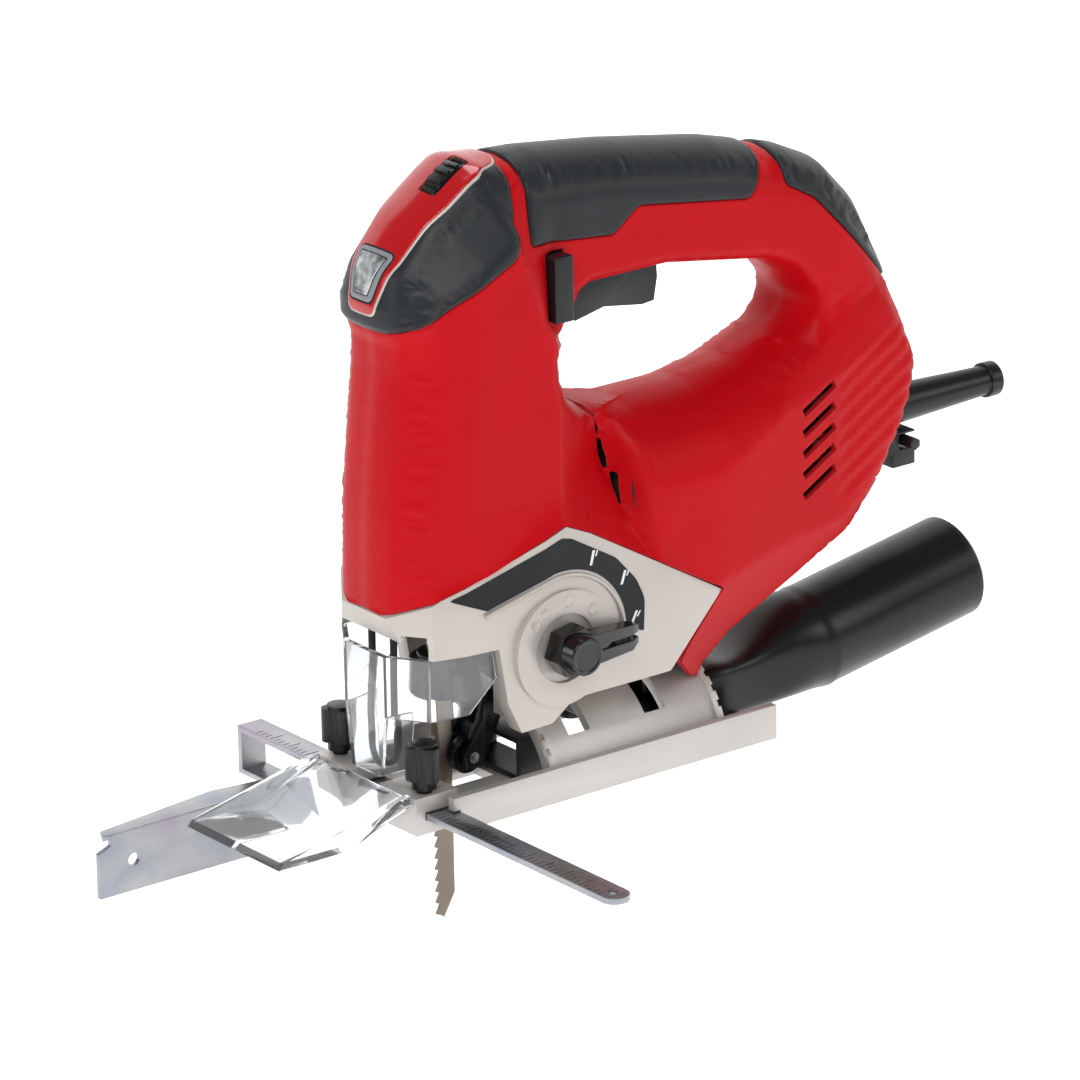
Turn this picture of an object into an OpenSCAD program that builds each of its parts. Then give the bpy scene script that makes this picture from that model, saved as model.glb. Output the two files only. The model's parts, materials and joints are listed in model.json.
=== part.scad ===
// Jigsaw with a D-handle, tilting shoe, parallel fence and dust port.
// Origin: the blade axis where it meets the sole. +Z up, -X the cutting direction.

/* [Working parts] */
// Full travel of the plunger
stroke = 20; // [16:1:20]
// Height of the armature axis above the sole
motor_z = 95; // [94:0.5:96]
// Teeth on the armature pinion
pinion_teeth = 8; // [8:1:8]
// Teeth on the crank gear
gear_teeth = 41; // [39:1:41]
// Gear module
gear_module = 1; // [1:0.1:1]

/* [Blade] */
// Length from the tip to the shank end
blade_l = 100; // [90:1:110]
// Width over the teeth
blade_w = 7.6; // [6:0.2:8]
// Thickness of the blade
blade_t = 1.2; // [0.9:0.1:1.5]
// How far the tip stands below the sole at rest
blade_out = 45; // [35:1:55]

/* [Shoe] */
// Width of the sole
base_w = 67; // [66:1:70]
// Length of the side rails
base_l = 136.5; // [130:0.5:140]
// Height of the side rails
rail_h = 12; // [11:0.5:12]
// Outer radius of the tilt saddle
saddle_r = 31; // [30.5:0.5:31]

/* [Fence] */
// Width of the fence bar
bar_w = 10; // [9:0.5:10]
// Thickness of the fence bar
bar_t = 2.2; // [1.8:0.1:2.3]
// Length of the bar on the near side of the blade
bar_near = 127; // [100:1:140]

/* [Body] */
// Wall thickness of the plastic shells
wall = 2.6; // [2.2:0.1:2.8]
// Thickness of the soft grip skins
skin = 1.1; // [0.8:0.1:1.4]
// Half width of the handle
grip_hw = 19; // [18:0.5:20]
// Half width of the motor barrel
barrel_r = 33; // [33:0.5:34]

/* [Dust port] */
// Outer diameter of the hose spigot
port_d = 36.5; // [35:0.5:37]
// Bore of the hose spigot
port_bore = 31; // [29:0.5:32]

/* [Hidden] */
$fn = 64;
tip_gap = 0.3;
gear_z = motor_z + gear_module * (gear_teeth + pinion_teeth) / 2;
crank_r = stroke / 2;
rod_r = 4.5;
bush_low = 61;
bush_high = 142;
guide_x = 14;
guide_z = 147;
lever_x = 20;
lever_z = 44;
roller_x = 7.6;
roller_z = 12;
roller_r = 6.5;
groove_r = roller_x - blade_w / 2 + 0.4 - tip_gap;
clamp_z = 36;
clamp_h = 14;
clamp_r = 10.5;
dial_x = 27;
dial_z = 53.5;
dial_y = -33;
bar_x = -23;
bar_z = 5;
bar_far = 79;
knob_x = -25;
knob_y = 23.4;
knob_z = 14.5;
knob_h = 15.7;
rail_y = base_w / 2;
base_x0 = -20.5;
cord_z = 93.5;
port_tilt = 9.7;
port_end = 222;
port_len = 68;
port_x = port_end - port_len * cos(port_tilt);
port_z = 29 - port_len * sin(port_tilt);
screw_x = 54;
stator_r = 26.6;
wheel_x = 8.4;
wheel_y = -3;
wheel_z = 205.7;
wheel_r = 11.9;
vent_x = 134.5;
vent_z = 79;
vent_pitch = 7.4;
vent_rise = 24.6;

// Side view of the plastic shell, X to the rear and Y up the page.
shell_pts = [[-31, 72], [-19, 79], [29, 95.5], [39, 91], [96, 58], [80, 34], [90, 25], [98, 25], [110, 34],
    [140, 48], [162, 58], [176, 74], [186, 90], [192, 104], [194, 116], [190, 132], [182, 152], [170, 176],
    [157, 190], [142, 197], [112, 205], [70, 212], [37, 216], [10, 217], [4, 213], [-12, 202], [-25, 187],
    [-28, 176], [-28, 170], [-25, 162], [-25, 153], [-26.5, 140], [-30, 106]];
hand_pts = [[40, 152], [44, 157], [50, 168], [85, 168], [128, 161], [138, 156], [147, 145], [143, 137],
    [120, 128], [100, 124.5], [70, 124.5], [52, 126.5], [43, 134.5], [39, 146]];
head_plan = [[-31, -11], [-21, -25], [-10, -28], [24, -28.5], [46, -20], [60, -19], [60, 19], [46, 20],
    [24, 28.5], [-10, 28], [-21, 25], [-31, 11]];
head_front = [[-30, 60], [-30, 176], [-24, 192], [-13, 214], [-6, 222], [6, 222], [13, 214], [24, 192],
    [30, 176], [30, 60]];
tail_front = [[-20, 60], [-25, 100], [-22, 130], [-19, 150], [19, 150], [22, 130], [25, 100], [20, 60]];
keel_pts = [[-33, 93], [-30, 50], [-20, 22], [20, 22], [30, 50], [33, 93]];
case_pts = [[-31, 71.5], [-19, 78.5], [29, 95], [39, 90.5], [95.5, 57.5], [72, 34.5], [31, 34.5], [22, 28],
    [10, 27], [5, 38], [2, 58], [-26, 58]];
case_plan = [[-31.5, -11.5], [-21.5, -25.5], [-10, -28.5], [20, -32], [70, -32], [97, -30], [97, 30],
    [70, 32], [20, 32], [-10, 28.5], [-21.5, 25.5], [-31.5, 11.5]];
// The seam's stretch in side view and in plan, where the shell is open to the gear case.
mouth_side = [[-28, 60], [-28, 112], [38, 112], [92, 84], [92, 50]];
mouth_plan = [[-31, -11], [-21, -25], [-10, -28], [24, -28.5], [46, -31], [95, -31],
    [95, 31], [46, 31], [24, 28.5], [-10, 28], [-21, 25], [-31, 11]];
boss_pts = [[-21, 110], [-17, 182], [91, 190], [163, 160], [180, 116], [148, 62]];

// A prism over an X-Z outline, from y0 to y1.
module side_prism(y0, y1) translate([0, y1, 0]) rotate([90, 0, 0]) linear_extrude(y1 - y0) children();
// A prism over a Y-Z outline, from x0 to x1.
module front_prism(x0, x1) translate([x0, 0, 0]) rotate([90, 0, 90]) linear_extrude(x1 - x0) children();
module x_rod(x0, x1, r) translate([x0, 0, 0]) rotate([0, 90, 0]) cylinder(h = x1 - x0, r = r);
module y_rod(y0, y1, r) translate([0, y0, 0]) rotate([-90, 0, 0]) cylinder(h = y1 - y0, r = r);
// A block given by its low corner and its high corner.
module block(low, high) translate(low) cube(high - low);
module round_rect(w, h, r) {
    square([w - 2 * r, h], center = true);
    square([w, h - 2 * r], center = true);
    for (sx = [-1, 1], sy = [-1, 1]) translate([sx * (w / 2 - r), sy * (h / 2 - r)]) circle(r);
}

// A straight run of handle with a rounded section, from a point at an angle below the horizontal.
module handle_run(x, z, drop, length, h, inset) translate([x, 0, z]) rotate([0, drop, 0])
    front_prism(0, length) round_rect(2 * (grip_hw - inset), h - 2 * inset, 11);

// The whole plastic body pulled in by an inset; a negative inset swells it.
module body_form(inset) intersection() {
    side_prism(-40, 40) offset(delta = -inset) difference() {
        polygon(shell_pts);
        polygon(hand_pts);
    }
    union() {
        intersection() {
            linear_extrude(240) offset(delta = -inset) polygon(head_plan);
            front_prism(-40, 48) offset(delta = -inset) polygon(head_front);
        }
        handle_run(20, 193.5, 8.3, 135, 50, inset);
        handle_run(128, 196, 56, 92, 60, inset);
        front_prism(30, 181 - inset) offset(delta = -inset) union() {
            translate([0, motor_z - 2]) circle(barrel_r);
            polygon(keel_pts);
        }
        x_taper(181 - inset, 195, inset);
        front_prism(128, 200) offset(delta = -inset) polygon(tail_front);
    }
}
// The tapered tail of the barrel.
module x_taper(x0, x1, inset) translate([x0, 0, motor_z]) rotate([0, 90, 0])
    cylinder(h = x1 - x0, r1 = barrel_r - 4 - inset, r2 = barrel_r - 14 - inset);

module bosses() intersection() {
    body_form(0.5);
    for (p = boss_pts) translate([p[0], 0, p[1]]) y_rod(-40, 40, 4.3);
}
module vents() for (i = [0:4]) translate([vent_x, -40, vent_z + vent_pitch * i])
    rotate([0, -vent_rise, 0]) block([0, 0, 0], [17, 80, 3]);
module fan_vents() for (s = [-1, 1], i = [0:3]) translate([54, s * 30, 92 + 8 * i])
    block([0, -6, 0], [6, 6, 4]);

module seam_mouth() intersection() {
    side_prism(-28.5, 28.5) polygon(mouth_side);
    linear_extrude(130) offset(delta = -wall) polygon(mouth_plan);
}
// The way through the crest for the speed wheel, square to the sloping crest above it.
module wheel_slot() translate([wheel_x, wheel_y, wheel_z]) rotate([0, -34, 0])
    block([-10.8, -4.7, 1.9], [13.8, 4.7, 24]);

// Room for the tilt saddle, with more for its two end plates.
module saddle_room() {
    x_rod(20, 97, saddle_r + 0.3);
    for (x = [19, 91.5]) x_rod(x, x + 7, saddle_r + 1.8);
}

// Both shells in one, before they are parted at the middle plane.
module shell() difference() {
    union() {
        difference() {
            body_form(0);
            body_form(wall);
        }
        bosses();
        // Seats for the stator and the rear bearing.
        intersection() {
            body_form(0.5);
            union() {
                for (x = [94, 122]) difference() {
                    block([x, -34, 60], [x + 4, 34, 130]);
                    translate([0, 0, motor_z]) x_rod(x - 1, x + 5, stator_r);
                }
                difference() {
                    block([163, -34, 72], [171, 34, 118]);
                    translate([0, 0, motor_z]) x_rod(162, 172, 9.5);
                }
                // Axle of the speed wheel, with a collar on each side of it.
                translate([wheel_x, 0, wheel_z]) {
                    y_rod(-30, 30, 1.8);
                    y_rod(-30, wheel_y - 4.2, 3.6);
                    y_rod(wheel_y + 4.2, 30, 3.6);
                }
                difference() {
                    block([182, -12, 82], [186, 12, 106]);
                    translate([0, 0, cord_z]) x_rod(181, 187, 7);
                }
            }
        }
    }
    for (p = boss_pts) translate([p[0], 0, p[1]]) {
        y_rod(-14, 12.5, 2);
        y_rod(12, 45, 3.9);
    }
    vents();
    fan_vents();
    translate([0, 0, cord_z]) x_rod(180, 200, 7);
    // Trigger mouth in the underside of the handle.
    block([40, -11.6, 150], [86, 11.6, 180]);
    // Lock button window in the near wall.
    block([30.6, -40, 161.8], [39.4, -16, 185.6]);
    wheel_slot();
    // Room for the gear case below the seam.
    side_prism(-40, 40) offset(delta = 0.2) polygon(case_pts);
    seam_mouth();
    saddle_room();
    // Room for the dust port's shoulder when the sole tilts.
    block([97.5, -16, 24], [102.5, 16, 28]);
    // Seats for the tail clip.
    block([182, -9.2, 72], [200, 9.2, 88.2]);
}
module housing_left() color("crimson") intersection() {
    shell();
    block([-60, -60, 0], [260, 0, 260]);
}
module housing_right() color("crimson") intersection() {
    shell();
    block([-60, 0, 0], [260, 60, 260]);
}
// A skin that lies on the plastic body inside a side-view outline.
module grip_skin(points, depth, base) intersection() {
    difference() {
        body_form(-base - depth);
        body_form(-base);
    }
    side_prism(-45, 45) polygon(points);
}
module head_cap() color("dimgray") difference() {
    grip_skin([[-45, 168], [-28, 168], [-15, 176], [12, 189], [18, 203], [23, 226], [-45, 226]], skin, 0);
    wheel_slot();
}
module handle_grip() color("dimgray")
    grip_skin([[27, 226], [24, 190], [60, 186], [71, 193.5], [118, 186], [127, 198], [130, 226]], skin, 0);
module rear_grip() color("dimgray")
    grip_skin([[136, 226], [134, 188], [146, 182], [180, 146], [205, 146], [205, 226]], skin, 0);
module top_inlay() color("firebrick") difference() {
    intersection() {
        grip_skin([[-45, 172.5], [-20, 172.5], [0, 198], [20, 200], [20, 226], [-45, 226]], 0.6, skin);
        linear_extrude(240) polygon([[-35, -8], [-22, -12], [-3, -13.2], [9, -12.8], [16, -9], [19.5, -3],
            [19.5, 3], [16, 9], [9, 12.8], [-3, 13.2], [-22, 12], [-35, 8]]);
    }
    wheel_slot();
}
module badge() color("silver") intersection() {
    grip_skin([[-45, 175], [-24, 175], [-12, 194], [-45, 194]], 0.5, skin + 0.6);
    front_prism(-45, -5) polygon([[-6, 176.5], [6, 176.5], [9, 191.5], [-9, 191.5]]);
}

module case_solid() intersection() {
    side_prism(-33, 33) polygon(case_pts);
    linear_extrude(120) polygon(case_plan);
}
module gear_case() color("silver") difference() {
    union() {
        case_solid();
        // Tower that carries the plunger guide and the crank gear, inside the head.
        block([-14, -24, 60], [38, 24, 112]);
        block([-14, -24, 110], [28, 24, 158]);
        translate([dial_x, 0, dial_z]) y_rod(-33.2, -30, 20);
        // Pads that bear on the tilt saddle.
        block([47, -13, 28], [61, 13, 36]);
    }
    // Motor bay behind the front bearing.
    side_prism(-28.5, 28.5) polygon([[42, 38], [71, 38], [90, 58], [100, 58], [100, 125], [42, 125]]);
    // Gear room and plunger room.
    block([-11.6, -22.5, 55], [27, 22.5, 155]);
    block([-11.6, -14, 150], [27, 14, 160]);
    // Blade chamber, open to the front and below.
    side_prism(-24, 24) polygon([[-27, 20], [14, 20], [14, 62], [-8, 66], [-27, 66]]);
    block([-28, -19, 56], [-8, 19, 66]);
    // Well for the pendulum lever.
    block([2, -10, 20], [29, 10, 57]);
    translate([lever_x, 0, lever_z]) y_rod(-20, 20, 2.5);
    translate([0, 0, motor_z]) x_rod(20, 45, 11);
    translate([0, 0, gear_z]) x_rod(26, 36, 5);
    translate([guide_x, 0, guide_z]) y_rod(-26, 26, 3);
    translate([dial_x, 0, dial_z]) y_rod(-40, 0, 4.05);
    translate([dial_x, 0, dial_z]) y_rod(-14.3, -9, 6.3);
    translate([dial_x, 0, dial_z]) y_rod(-34, -32, 12);
    translate([screw_x, 0, 0]) cylinder(h = 60, r = 2.55);
    saddle_room();
    for (s = [-1, 1]) translate([-23.5, s * 6, 50]) cylinder(h = 30, r = 1.25);
    // Cooling air holes in the rear wall.
    for (s = [-1, 1]) translate([0, s * 17, motor_z - 6]) x_rod(26, 45, 3.5);
}
label_pts = [[-16, 78], [27, 91.5], [31, 90.5], [49, 80], [57.5, 70.5], [61, 63], [60, 51.5], [54.5, 54.5],
    [53, 60], [47.5, 70.5], [35, 78], [24, 78.5], [-2, 72.5]];
// A printed film that follows the case's near side.
module scale_label() color("dimgray") intersection() {
    difference() {
        linear_extrude(120) offset(delta = 0.3) polygon(case_plan);
        linear_extrude(130) polygon(case_plan);
    }
    side_prism(-40, 0) polygon(label_pts);
}

module wire_guard() color("black") translate([-23.5, 0, 0]) {
    for (s = [-1, 1]) translate([0, s * 6, 23.2]) cylinder(h = 46, r = 1.25);
    translate([0, 0, 23.2]) rotate([90, 0, 90]) rotate([0, 0, 180])
        rotate_extrude(angle = 180) translate([6, 0]) circle(1.25);
}
// Plan of the clear guard around the blade chamber.
guard_plan = [[-31.5, -11], [-22.5, -24.6], [-12, -26.3], [6, -26.8], [6, -24.8], [-12, -24.3],
    [-21.5, -22.8], [-29.5, -10.4], [-29.5, 10.4], [-21.5, 22.8], [-12, 24.3], [6, 24.8], [6, 26.8],
    [-12, 26.3], [-22.5, 24.6], [-31.5, 11]];
module clear_guard() color("lightcyan") {
    intersection() {
        linear_extrude(120) polygon(guard_plan);
        side_prism(-30, 30) polygon([[-40, 57.8], [-40, 36.5], [-8, 36.5], [3.2, 47], [1.8, 57.8]]);
    }
    // Tongue in front of the wire guard, with side flanges.
    front_prism(-31.5, -29.5) polygon([[-11, 36.6], [-8, 15], [8, 15], [11, 36.6]]);
    for (s = [-1, 1]) front_prism(-29.6, -19)
        polygon([[s * 11, 36.6], [s * 8, 15], [s * 6.8, 15], [s * 9.8, 36.6]]);
}

module stator() color("gray") translate([0, 0, motor_z]) difference() {
    x_rod(90, 130, stator_r);
    x_rod(89, 131, 16.5);
    for (s = [-1, 1]) block([89, -15, s * 17 - 3.8], [131, 15, s * 17 + 3.8]);
}
module stator_windings() color("chocolate") translate([0, 0, motor_z]) {
    for (s = [-1, 1]) {
        difference() {
            block([84, -14.8, s * 17 - 3.6], [136, 14.8, s * 17 + 3.6]);
            x_rod(80, 140, 16.6);
        }
    }
}
module bearing(x, w, od, id) translate([x, 0, motor_z]) difference() {
    x_rod(0, w, od / 2);
    x_rod(-1, w + 1, id / 2);
    for (e = [-1, w - 0.6]) difference() {
        x_rod(e, e + 1.6, od / 2 - 2.2);
        x_rod(e - 1, e + 3, id / 2 + 1.6);
    }
}
module front_bearing() color("lightgray") bearing(30, 7, 22, 8.1);
module rear_bearing() color("lightgray") bearing(164, 6, 19, 7.1);
module brush_holders() color("goldenrod") for (s = [-1, 1]) translate([145, 0, motor_z]) difference() {
    block([-5, s * 17.2 - 5.7, -4.5], [5, s * 17.2 + 5.7, 4.5]);
    block([-4, s * 17.2 - 8, -3.5], [4, s * 17.2 + 8, 3.5]);
}
module carbon_brushes() color("black") for (s = [-1, 1]) translate([145, 0, motor_z])
    block([-3.9, s * 14.9 - 3.6, -3.4], [3.9, s * 14.9 + 3.6, 3.4]);
module brush_springs() color("lightgray") for (s = [-1, 1]) translate([145, s * 20.65, motor_z])
    rotate([90, 0, 0]) for (k = [-1.5:1:1.5]) translate([0, 0, 1.1 * k])
        rotate_extrude() translate([2.4, 0]) circle(0.45, $fn = 16);
module switch_unit() color("black") {
    block([52, -10, 184], [84, 10, 200]);
    block([57, -2.5, 180.6], [62, 2.5, 184]);
    for (x = [60, 74]) block([x, -6, 200], [x + 3, 6, 203]);
}
module speed_board() color("darkgreen") {
    block([100, -12, 176], [136, 12, 177.6]);
    translate([108, 0, 177.6]) cylinder(h = 9, r = 4);
    translate([121, 6, 177.6]) cylinder(h = 6, r = 3);
    block([116, -9, 177.6], [130, -1, 186]);
}
module strain_relief() color("black") translate([0, 0, cord_z]) difference() {
    union() {
        x_rod(178, 180, 8);
        x_rod(179.9, 196, 6.9);
        translate([196, 0, 0]) rotate([0, 90, 0]) cylinder(h = 40, r1 = 6.9, r2 = 5.2);
        x_rod(236, 241, 6.2);
    }
    x_rod(177, 242, 3.7);
}
module cord_clamp() color("black") difference() {
    block([172.5, -10, cord_z + 6], [177.5, 10, cord_z + 9]);
    for (s = [-1, 1]) translate([175, s * 7, 90]) cylinder(h = 30, r = 1.5);
}
module key_clip() color("black") difference() {
    block([182, -9, 74], [198, 9, 86.4]);
    // Slot that the key's long leg snaps into.
    block([191, -10, 80.4], [199, 10, 85.5]);
    block([181, -10, 73], [188, 10, 79]);
    block([189, -6, 73], [199, 6, 80]);
}
module hex_key() color("black") {
    translate([194, -14, 83]) rotate([-90, 30, 0]) cylinder(h = 48, r = 2.3, $fn = 6);
    translate([194, 33, 66]) cylinder(h = 18.5, r = 2.3, $fn = 6);
}
module housing_screws() color("gray") for (p = boss_pts) translate([p[0], 0, p[1]]) {
    y_rod(-13.9, 12.5, 2);
    difference() {
        y_rod(12.5, 15.5, 3.8);
        y_rod(14, 17, 1.6);
    }
}
module gear_axle() color("gray") translate([0, 0, gear_z]) x_rod(16.5, 30, 5);
module guide_pin() color("gray") translate([guide_x, 0, guide_z]) y_rod(-24, 24, 3);
module lever_pin() color("gray") translate([lever_x, 0, lever_z]) y_rod(-20, 20, 2.5);

module armature_shaft() color("gray") translate([0, 0, motor_z]) {
    x_rod(25, 163.9, 4);
    x_rod(163.8, 170.5, 3.5);
    // Cut pinion at the front end.
    front_prism(15.5, 25.1) gear_outline(pinion_teeth, 0);
}
// A straight-toothed gear outline with flat flanks; tooth_turn shifts the first tooth.
module gear_outline(teeth, tooth_turn) {
    pitch_r = gear_module * teeth / 2;
    polygon([for (i = [0:teeth - 1], k = [0:3])
        let (r = pitch_r + [-1.15, 0.85, 0.85, -1.15][k] * gear_module)
        let (a = tooth_turn + (360 * i + 180 * [-0.62, -0.24, 0.24, 0.62][k]) / teeth)
        [r * sin(a), r * cos(a)]]);
}
module armature_core() color("dimgray") translate([0, 0, motor_z]) difference() {
    union() {
        difference() {
            x_rod(92, 128, 15.6);
            for (i = [0:11]) rotate([30 * i, 0, 0]) block([91, -1, 13.6], [129, 1, 17]);
        }
        x_rod(86, 134, 11.5);
    }
    x_rod(80, 140, 4);
}
module commutator() color("peru") translate([0, 0, motor_z]) difference() {
    x_rod(137, 153, 11);
    x_rod(136, 154, 4);
    for (i = [0:11]) rotate([15 + 30 * i, 0, 0]) block([138, -0.3, 10], [154, 0.3, 12]);
}
module fan() color("black") translate([0, 0, motor_z]) {
    difference() {
        x_rod(62, 75, 8);
        x_rod(61, 76, 4);
    }
    difference() {
        x_rod(62, 64, 26);
        x_rod(61, 65, 7.9);
    }
    for (i = [0:10]) rotate([i * 360 / 11, 0, 0]) block([63.9, -0.9, 7.6], [75, 0.9, 25.5]);
}
module crank_gear() color("gray") translate([0, 0, gear_z]) difference() {
    union() {
        front_prism(18, 24) gear_outline(gear_teeth, 180 - 180 / gear_teeth * mesh_shift);
        x_rod(16, 25, 15);
    }
    x_rod(15, 26, 5.06);
    translate([0, crank_r, 0]) x_rod(15, 26, 3);
    // Lightening holes opposite the crank pin.
    for (a = [130, 180, 230]) rotate([a - 90, 0, 0]) translate([0, 0, 14.8]) x_rod(17, 26, 2.6);
}
// With a tooth of the pinion pointing down the gear needs a gap there, and the other way round.
mesh_shift = (pinion_teeth % 2 == 0) ? 1 : 0;
module crank_pin() color("lightgray") translate([0, crank_r, gear_z]) {
    x_rod(12.8, 24, 3);
    difference() {
        x_rod(12.8, 15.7, 4.6);
        x_rod(12, 17, 3);
    }
}
module swivel_guide() color("gray") difference() {
    union() {
        block([-9.5, -11.5, bush_low], [9.5, 11.5, bush_low + 9]);
        block([-9.5, -11.5, bush_high], [9.5, 11.5, bush_high + 10]);
        for (s = [-1, 1]) block([-5, s * 9.9 - 1.6, bush_low], [5, s * 9.9 + 1.6, bush_high + 10]);
        block([8, -8, bush_high], [guide_x, 8, bush_high + 10]);
        translate([guide_x, 0, guide_z]) y_rod(-8, 8, 5);
    }
    translate([0, 0, 50]) cylinder(h = 110, r = 6.5);
    translate([guide_x, 0, guide_z]) y_rod(-12, 12, 3.05);
}
module guide_bushes() color("goldenrod") for (z = [bush_low, bush_high]) translate([0, 0, z]) difference() {
    cylinder(h = z == bush_low ? 9 : 10, r = 6.5);
    translate([0, 0, -1]) cylinder(h = 12, r = rod_r + 0.05);
}
module plunger() color("gray") difference() {
    union() {
        translate([0, 0, clamp_z + clamp_h]) cylinder(h = 116, r = rod_r);
        translate([0, 0, gear_z]) {
            block([2, -6, -8], [8, 6, 8]);
            block([7.5, -19, -9], [12.5, 19, 9]);
        }
    }
    // Slot that the crank pin runs across in.
    translate([0, 0, gear_z]) block([6, -15.5, -4.9], [14, 15.5, 4.9]);
}
module blade_clamp() color("black") difference() {
    translate([0, 0, clamp_z]) cylinder(h = clamp_h, r = clamp_r - 2.6);
    block([-4.4, -blade_t / 2 - 0.05, clamp_z - 1], [3.6, blade_t / 2 + 0.05, clamp_z + clamp_h - 0.2]);
}
module clamp_collar() color("black") translate([0, 0, clamp_z + 1]) difference() {
    union() {
        cylinder(h = clamp_h - 3, r = clamp_r);
        for (a = [80, 260]) rotate([0, 0, a]) block([clamp_r - 1, -2.5, 0], [clamp_r + 2, 2.5, 8]);
    }
    translate([0, 0, -1]) cylinder(h = clamp_h, r = clamp_r - 2.54);
}
tooth_pitch = 4;
blade_front = -blade_w / 2 - 0.4;
blade_back = blade_w / 2 - 0.4;
module blade() color("darkgray") side_prism(-blade_t / 2, blade_t / 2) polygon(concat(
    [[blade_back, clamp_z - 6], [blade_back, -blade_out + 8], [blade_front + 3, -blade_out]],
    [for (i = [0:16], k = [0:1])
        [blade_front + (k == 0 ? 1.7 : 0) , -blade_out + 1 + tooth_pitch * (i + 0.15 * k)]],
    [[blade_front, clamp_z - 12], [blade_front, clamp_z + clamp_h - 4],
        [blade_back, clamp_z + clamp_h - 4]]));

module pendulum_lever() color("black") difference() {
    union() {
        translate([lever_x, 0, lever_z]) y_rod(-7.4, 7.4, 5);
        for (s = [-1, 1]) side_prism(s * 5.9 - 1.5, s * 5.9 + 1.5) polygon([[lever_x - 4.5, lever_z + 2],
            [lever_x + 4.5, lever_z], [lever_x + 1, 33], [lever_x + 0.5, 28], [roller_x + 7.5, 16],
            [roller_x + 3, roller_z - 4],
            [roller_x - 3, roller_z - 3.5], [roller_x - 3.4, roller_z + 2], [lever_x - 9, 24],
            [lever_x - 7, 34]]);
        block([lever_x - 6, -4.5, 30], [lever_x - 2, 4.5, 38]);
    }
    translate([lever_x, 0, lever_z]) y_rod(-9, 9, 2.55);
    translate([roller_x, 0, roller_z]) y_rod(-9, 9, 2);
}
module roller_pin() color("gray") translate([roller_x, 0, roller_z]) y_rod(-7.8, 7.8, 2);
module guide_roller() color("black") translate([roller_x, 0, roller_z]) difference() {
    y_rod(-4.1, 4.1, roller_r);
    y_rod(-5, 5, 2.05);
    difference() {
        y_rod(-0.9, 0.9, roller_r + 1);
        y_rod(-2, 2, groove_r);
    }
}
module selector_knob() color("black") translate([dial_x, 0, dial_z]) {
    y_rod(dial_y - 12, dial_y + 0.8, 9);
    y_rod(dial_y - 0.1, -14, 4);
    y_rod(-14, -11, 6);
    // Pointer lever.
    side_prism(dial_y - 9, dial_y - 1.5) polygon([[0, -5.5], [25, -4], [27, -2.8], [27, -1.1], [17, -1.1],
        [17, 1.1], [27, 1.1], [27, 2.8], [25, 4.2], [0, 5.5]]);
}
trigger_x = 84;
trigger_z = 173;
module trigger() color("dimgray") difference() {
    union() {
        side_prism(-11, 11) polygon([[47, 158], [50, 156.5], [62, 159], [78, 156.5], [83, 157], [84.5, 165],
            [84, 172], [52, 177.4], [46, 173], [44, 163]]);
        translate([trigger_x - 4, 0, trigger_z]) y_rod(-11, 11, 4);
    }
    translate([trigger_x - 4, 0, trigger_z]) y_rod(-12, 12, 2);
}
module lock_button() color("black") {
    block([31.2, -25.4, 162.4], [38.8, -18, 185]);
    block([33, -18.1, 170], [37, -12.4, 176]);
}
module speed_wheel() color("black") translate([wheel_x, wheel_y, wheel_z]) difference() {
    union() {
        y_rod(-3.6, 3.6, wheel_r - 0.9);
        for (i = [0:17]) rotate([0, 20 * i, 0]) block([9, -3.2, -0.9], [wheel_r, 3.2, 0.9]);
    }
    y_rod(-5, 5, 2);
}

module base_plate() color("silver") difference() {
    union() {
        block([base_x0, -rail_y, 0], [base_x0 + base_l, rail_y, 3]);
        for (s = [-1, 1]) block([base_x0, s * (rail_y - 1.5) - 1.5, 0], [base_x0 + base_l,
            s * (rail_y - 1.5) + 1.5, rail_h]);
        // Front blocks that clamp the fence bar, and the strip between them.
        for (s = [-1, 1]) block([-32, s * 18 - 10, 0], [-15, s * 18 + 10, 13]);
        // Tilt saddle with its end plates.
        intersection() {
            union() {
                x_rod(24, 94, saddle_r);
                for (x = [22, 93]) x_rod(x, x + 3, saddle_r + 1.2);
            }
            block([0, -rail_y, 0], [120, rail_y, 40]);
        }
    }
    x_rod(21, 97, saddle_r - 3.5);
    // Teeth of the bevel scale on the end plates.
    for (x = [22, 94.6], a = [-60:10:60])
        rotate([a, 0, 0]) block([x - 0.2, -1.2, saddle_r], [x + 1.6, 1.2, 40]);
    // Windows and the cross slot for the clamping screw.
    for (x = [34, 66], s = [-1, 1]) rotate([-s * 40, 0, 0]) block([x, -7, 20], [x + 9, 7, 40]);
    block([screw_x - 3.2, -9, 20], [screw_x + 3.2, 9, 40]);
    // Blade notch, open to the front.
    block([-40, -5.2, -1], [17, 5.2, 14]);
    // Slot for the fence bar.
    block([bar_x - bar_w / 2 - 0.2, -40, bar_z - 0.3], [bar_x + bar_w / 2 + 0.2, 40, bar_z + bar_t + 0.4]);
    for (s = [-1, 1]) translate([knob_x, s * knob_y, 6]) cylinder(h = 10, r = 2.55);
    for (s = [-1, 1]) block([-33, s * 13 - 2.6, 10.3], [-28, s * 13 + 2.6, 11.9]);
    translate([screw_x, 0, -1]) cylinder(h = 5, r = 5.5);
    block([-15, -rail_y + 3.01, 3], [-12, rail_y - 3.01, 14]);
    // Low run in the floor for the neck of the dust port.
    block([96, -19, 2], [120, 19, 3.1]);
}
module clamp_plate() color("gray") difference() {
    intersection() {
        x_rod(47, 61, saddle_r - 3.8);
        block([47, -12, 19], [61, 12, 30]);
    }
    translate([screw_x, 0, 10]) cylinder(h = 30, r = 2.6);
}
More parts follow.
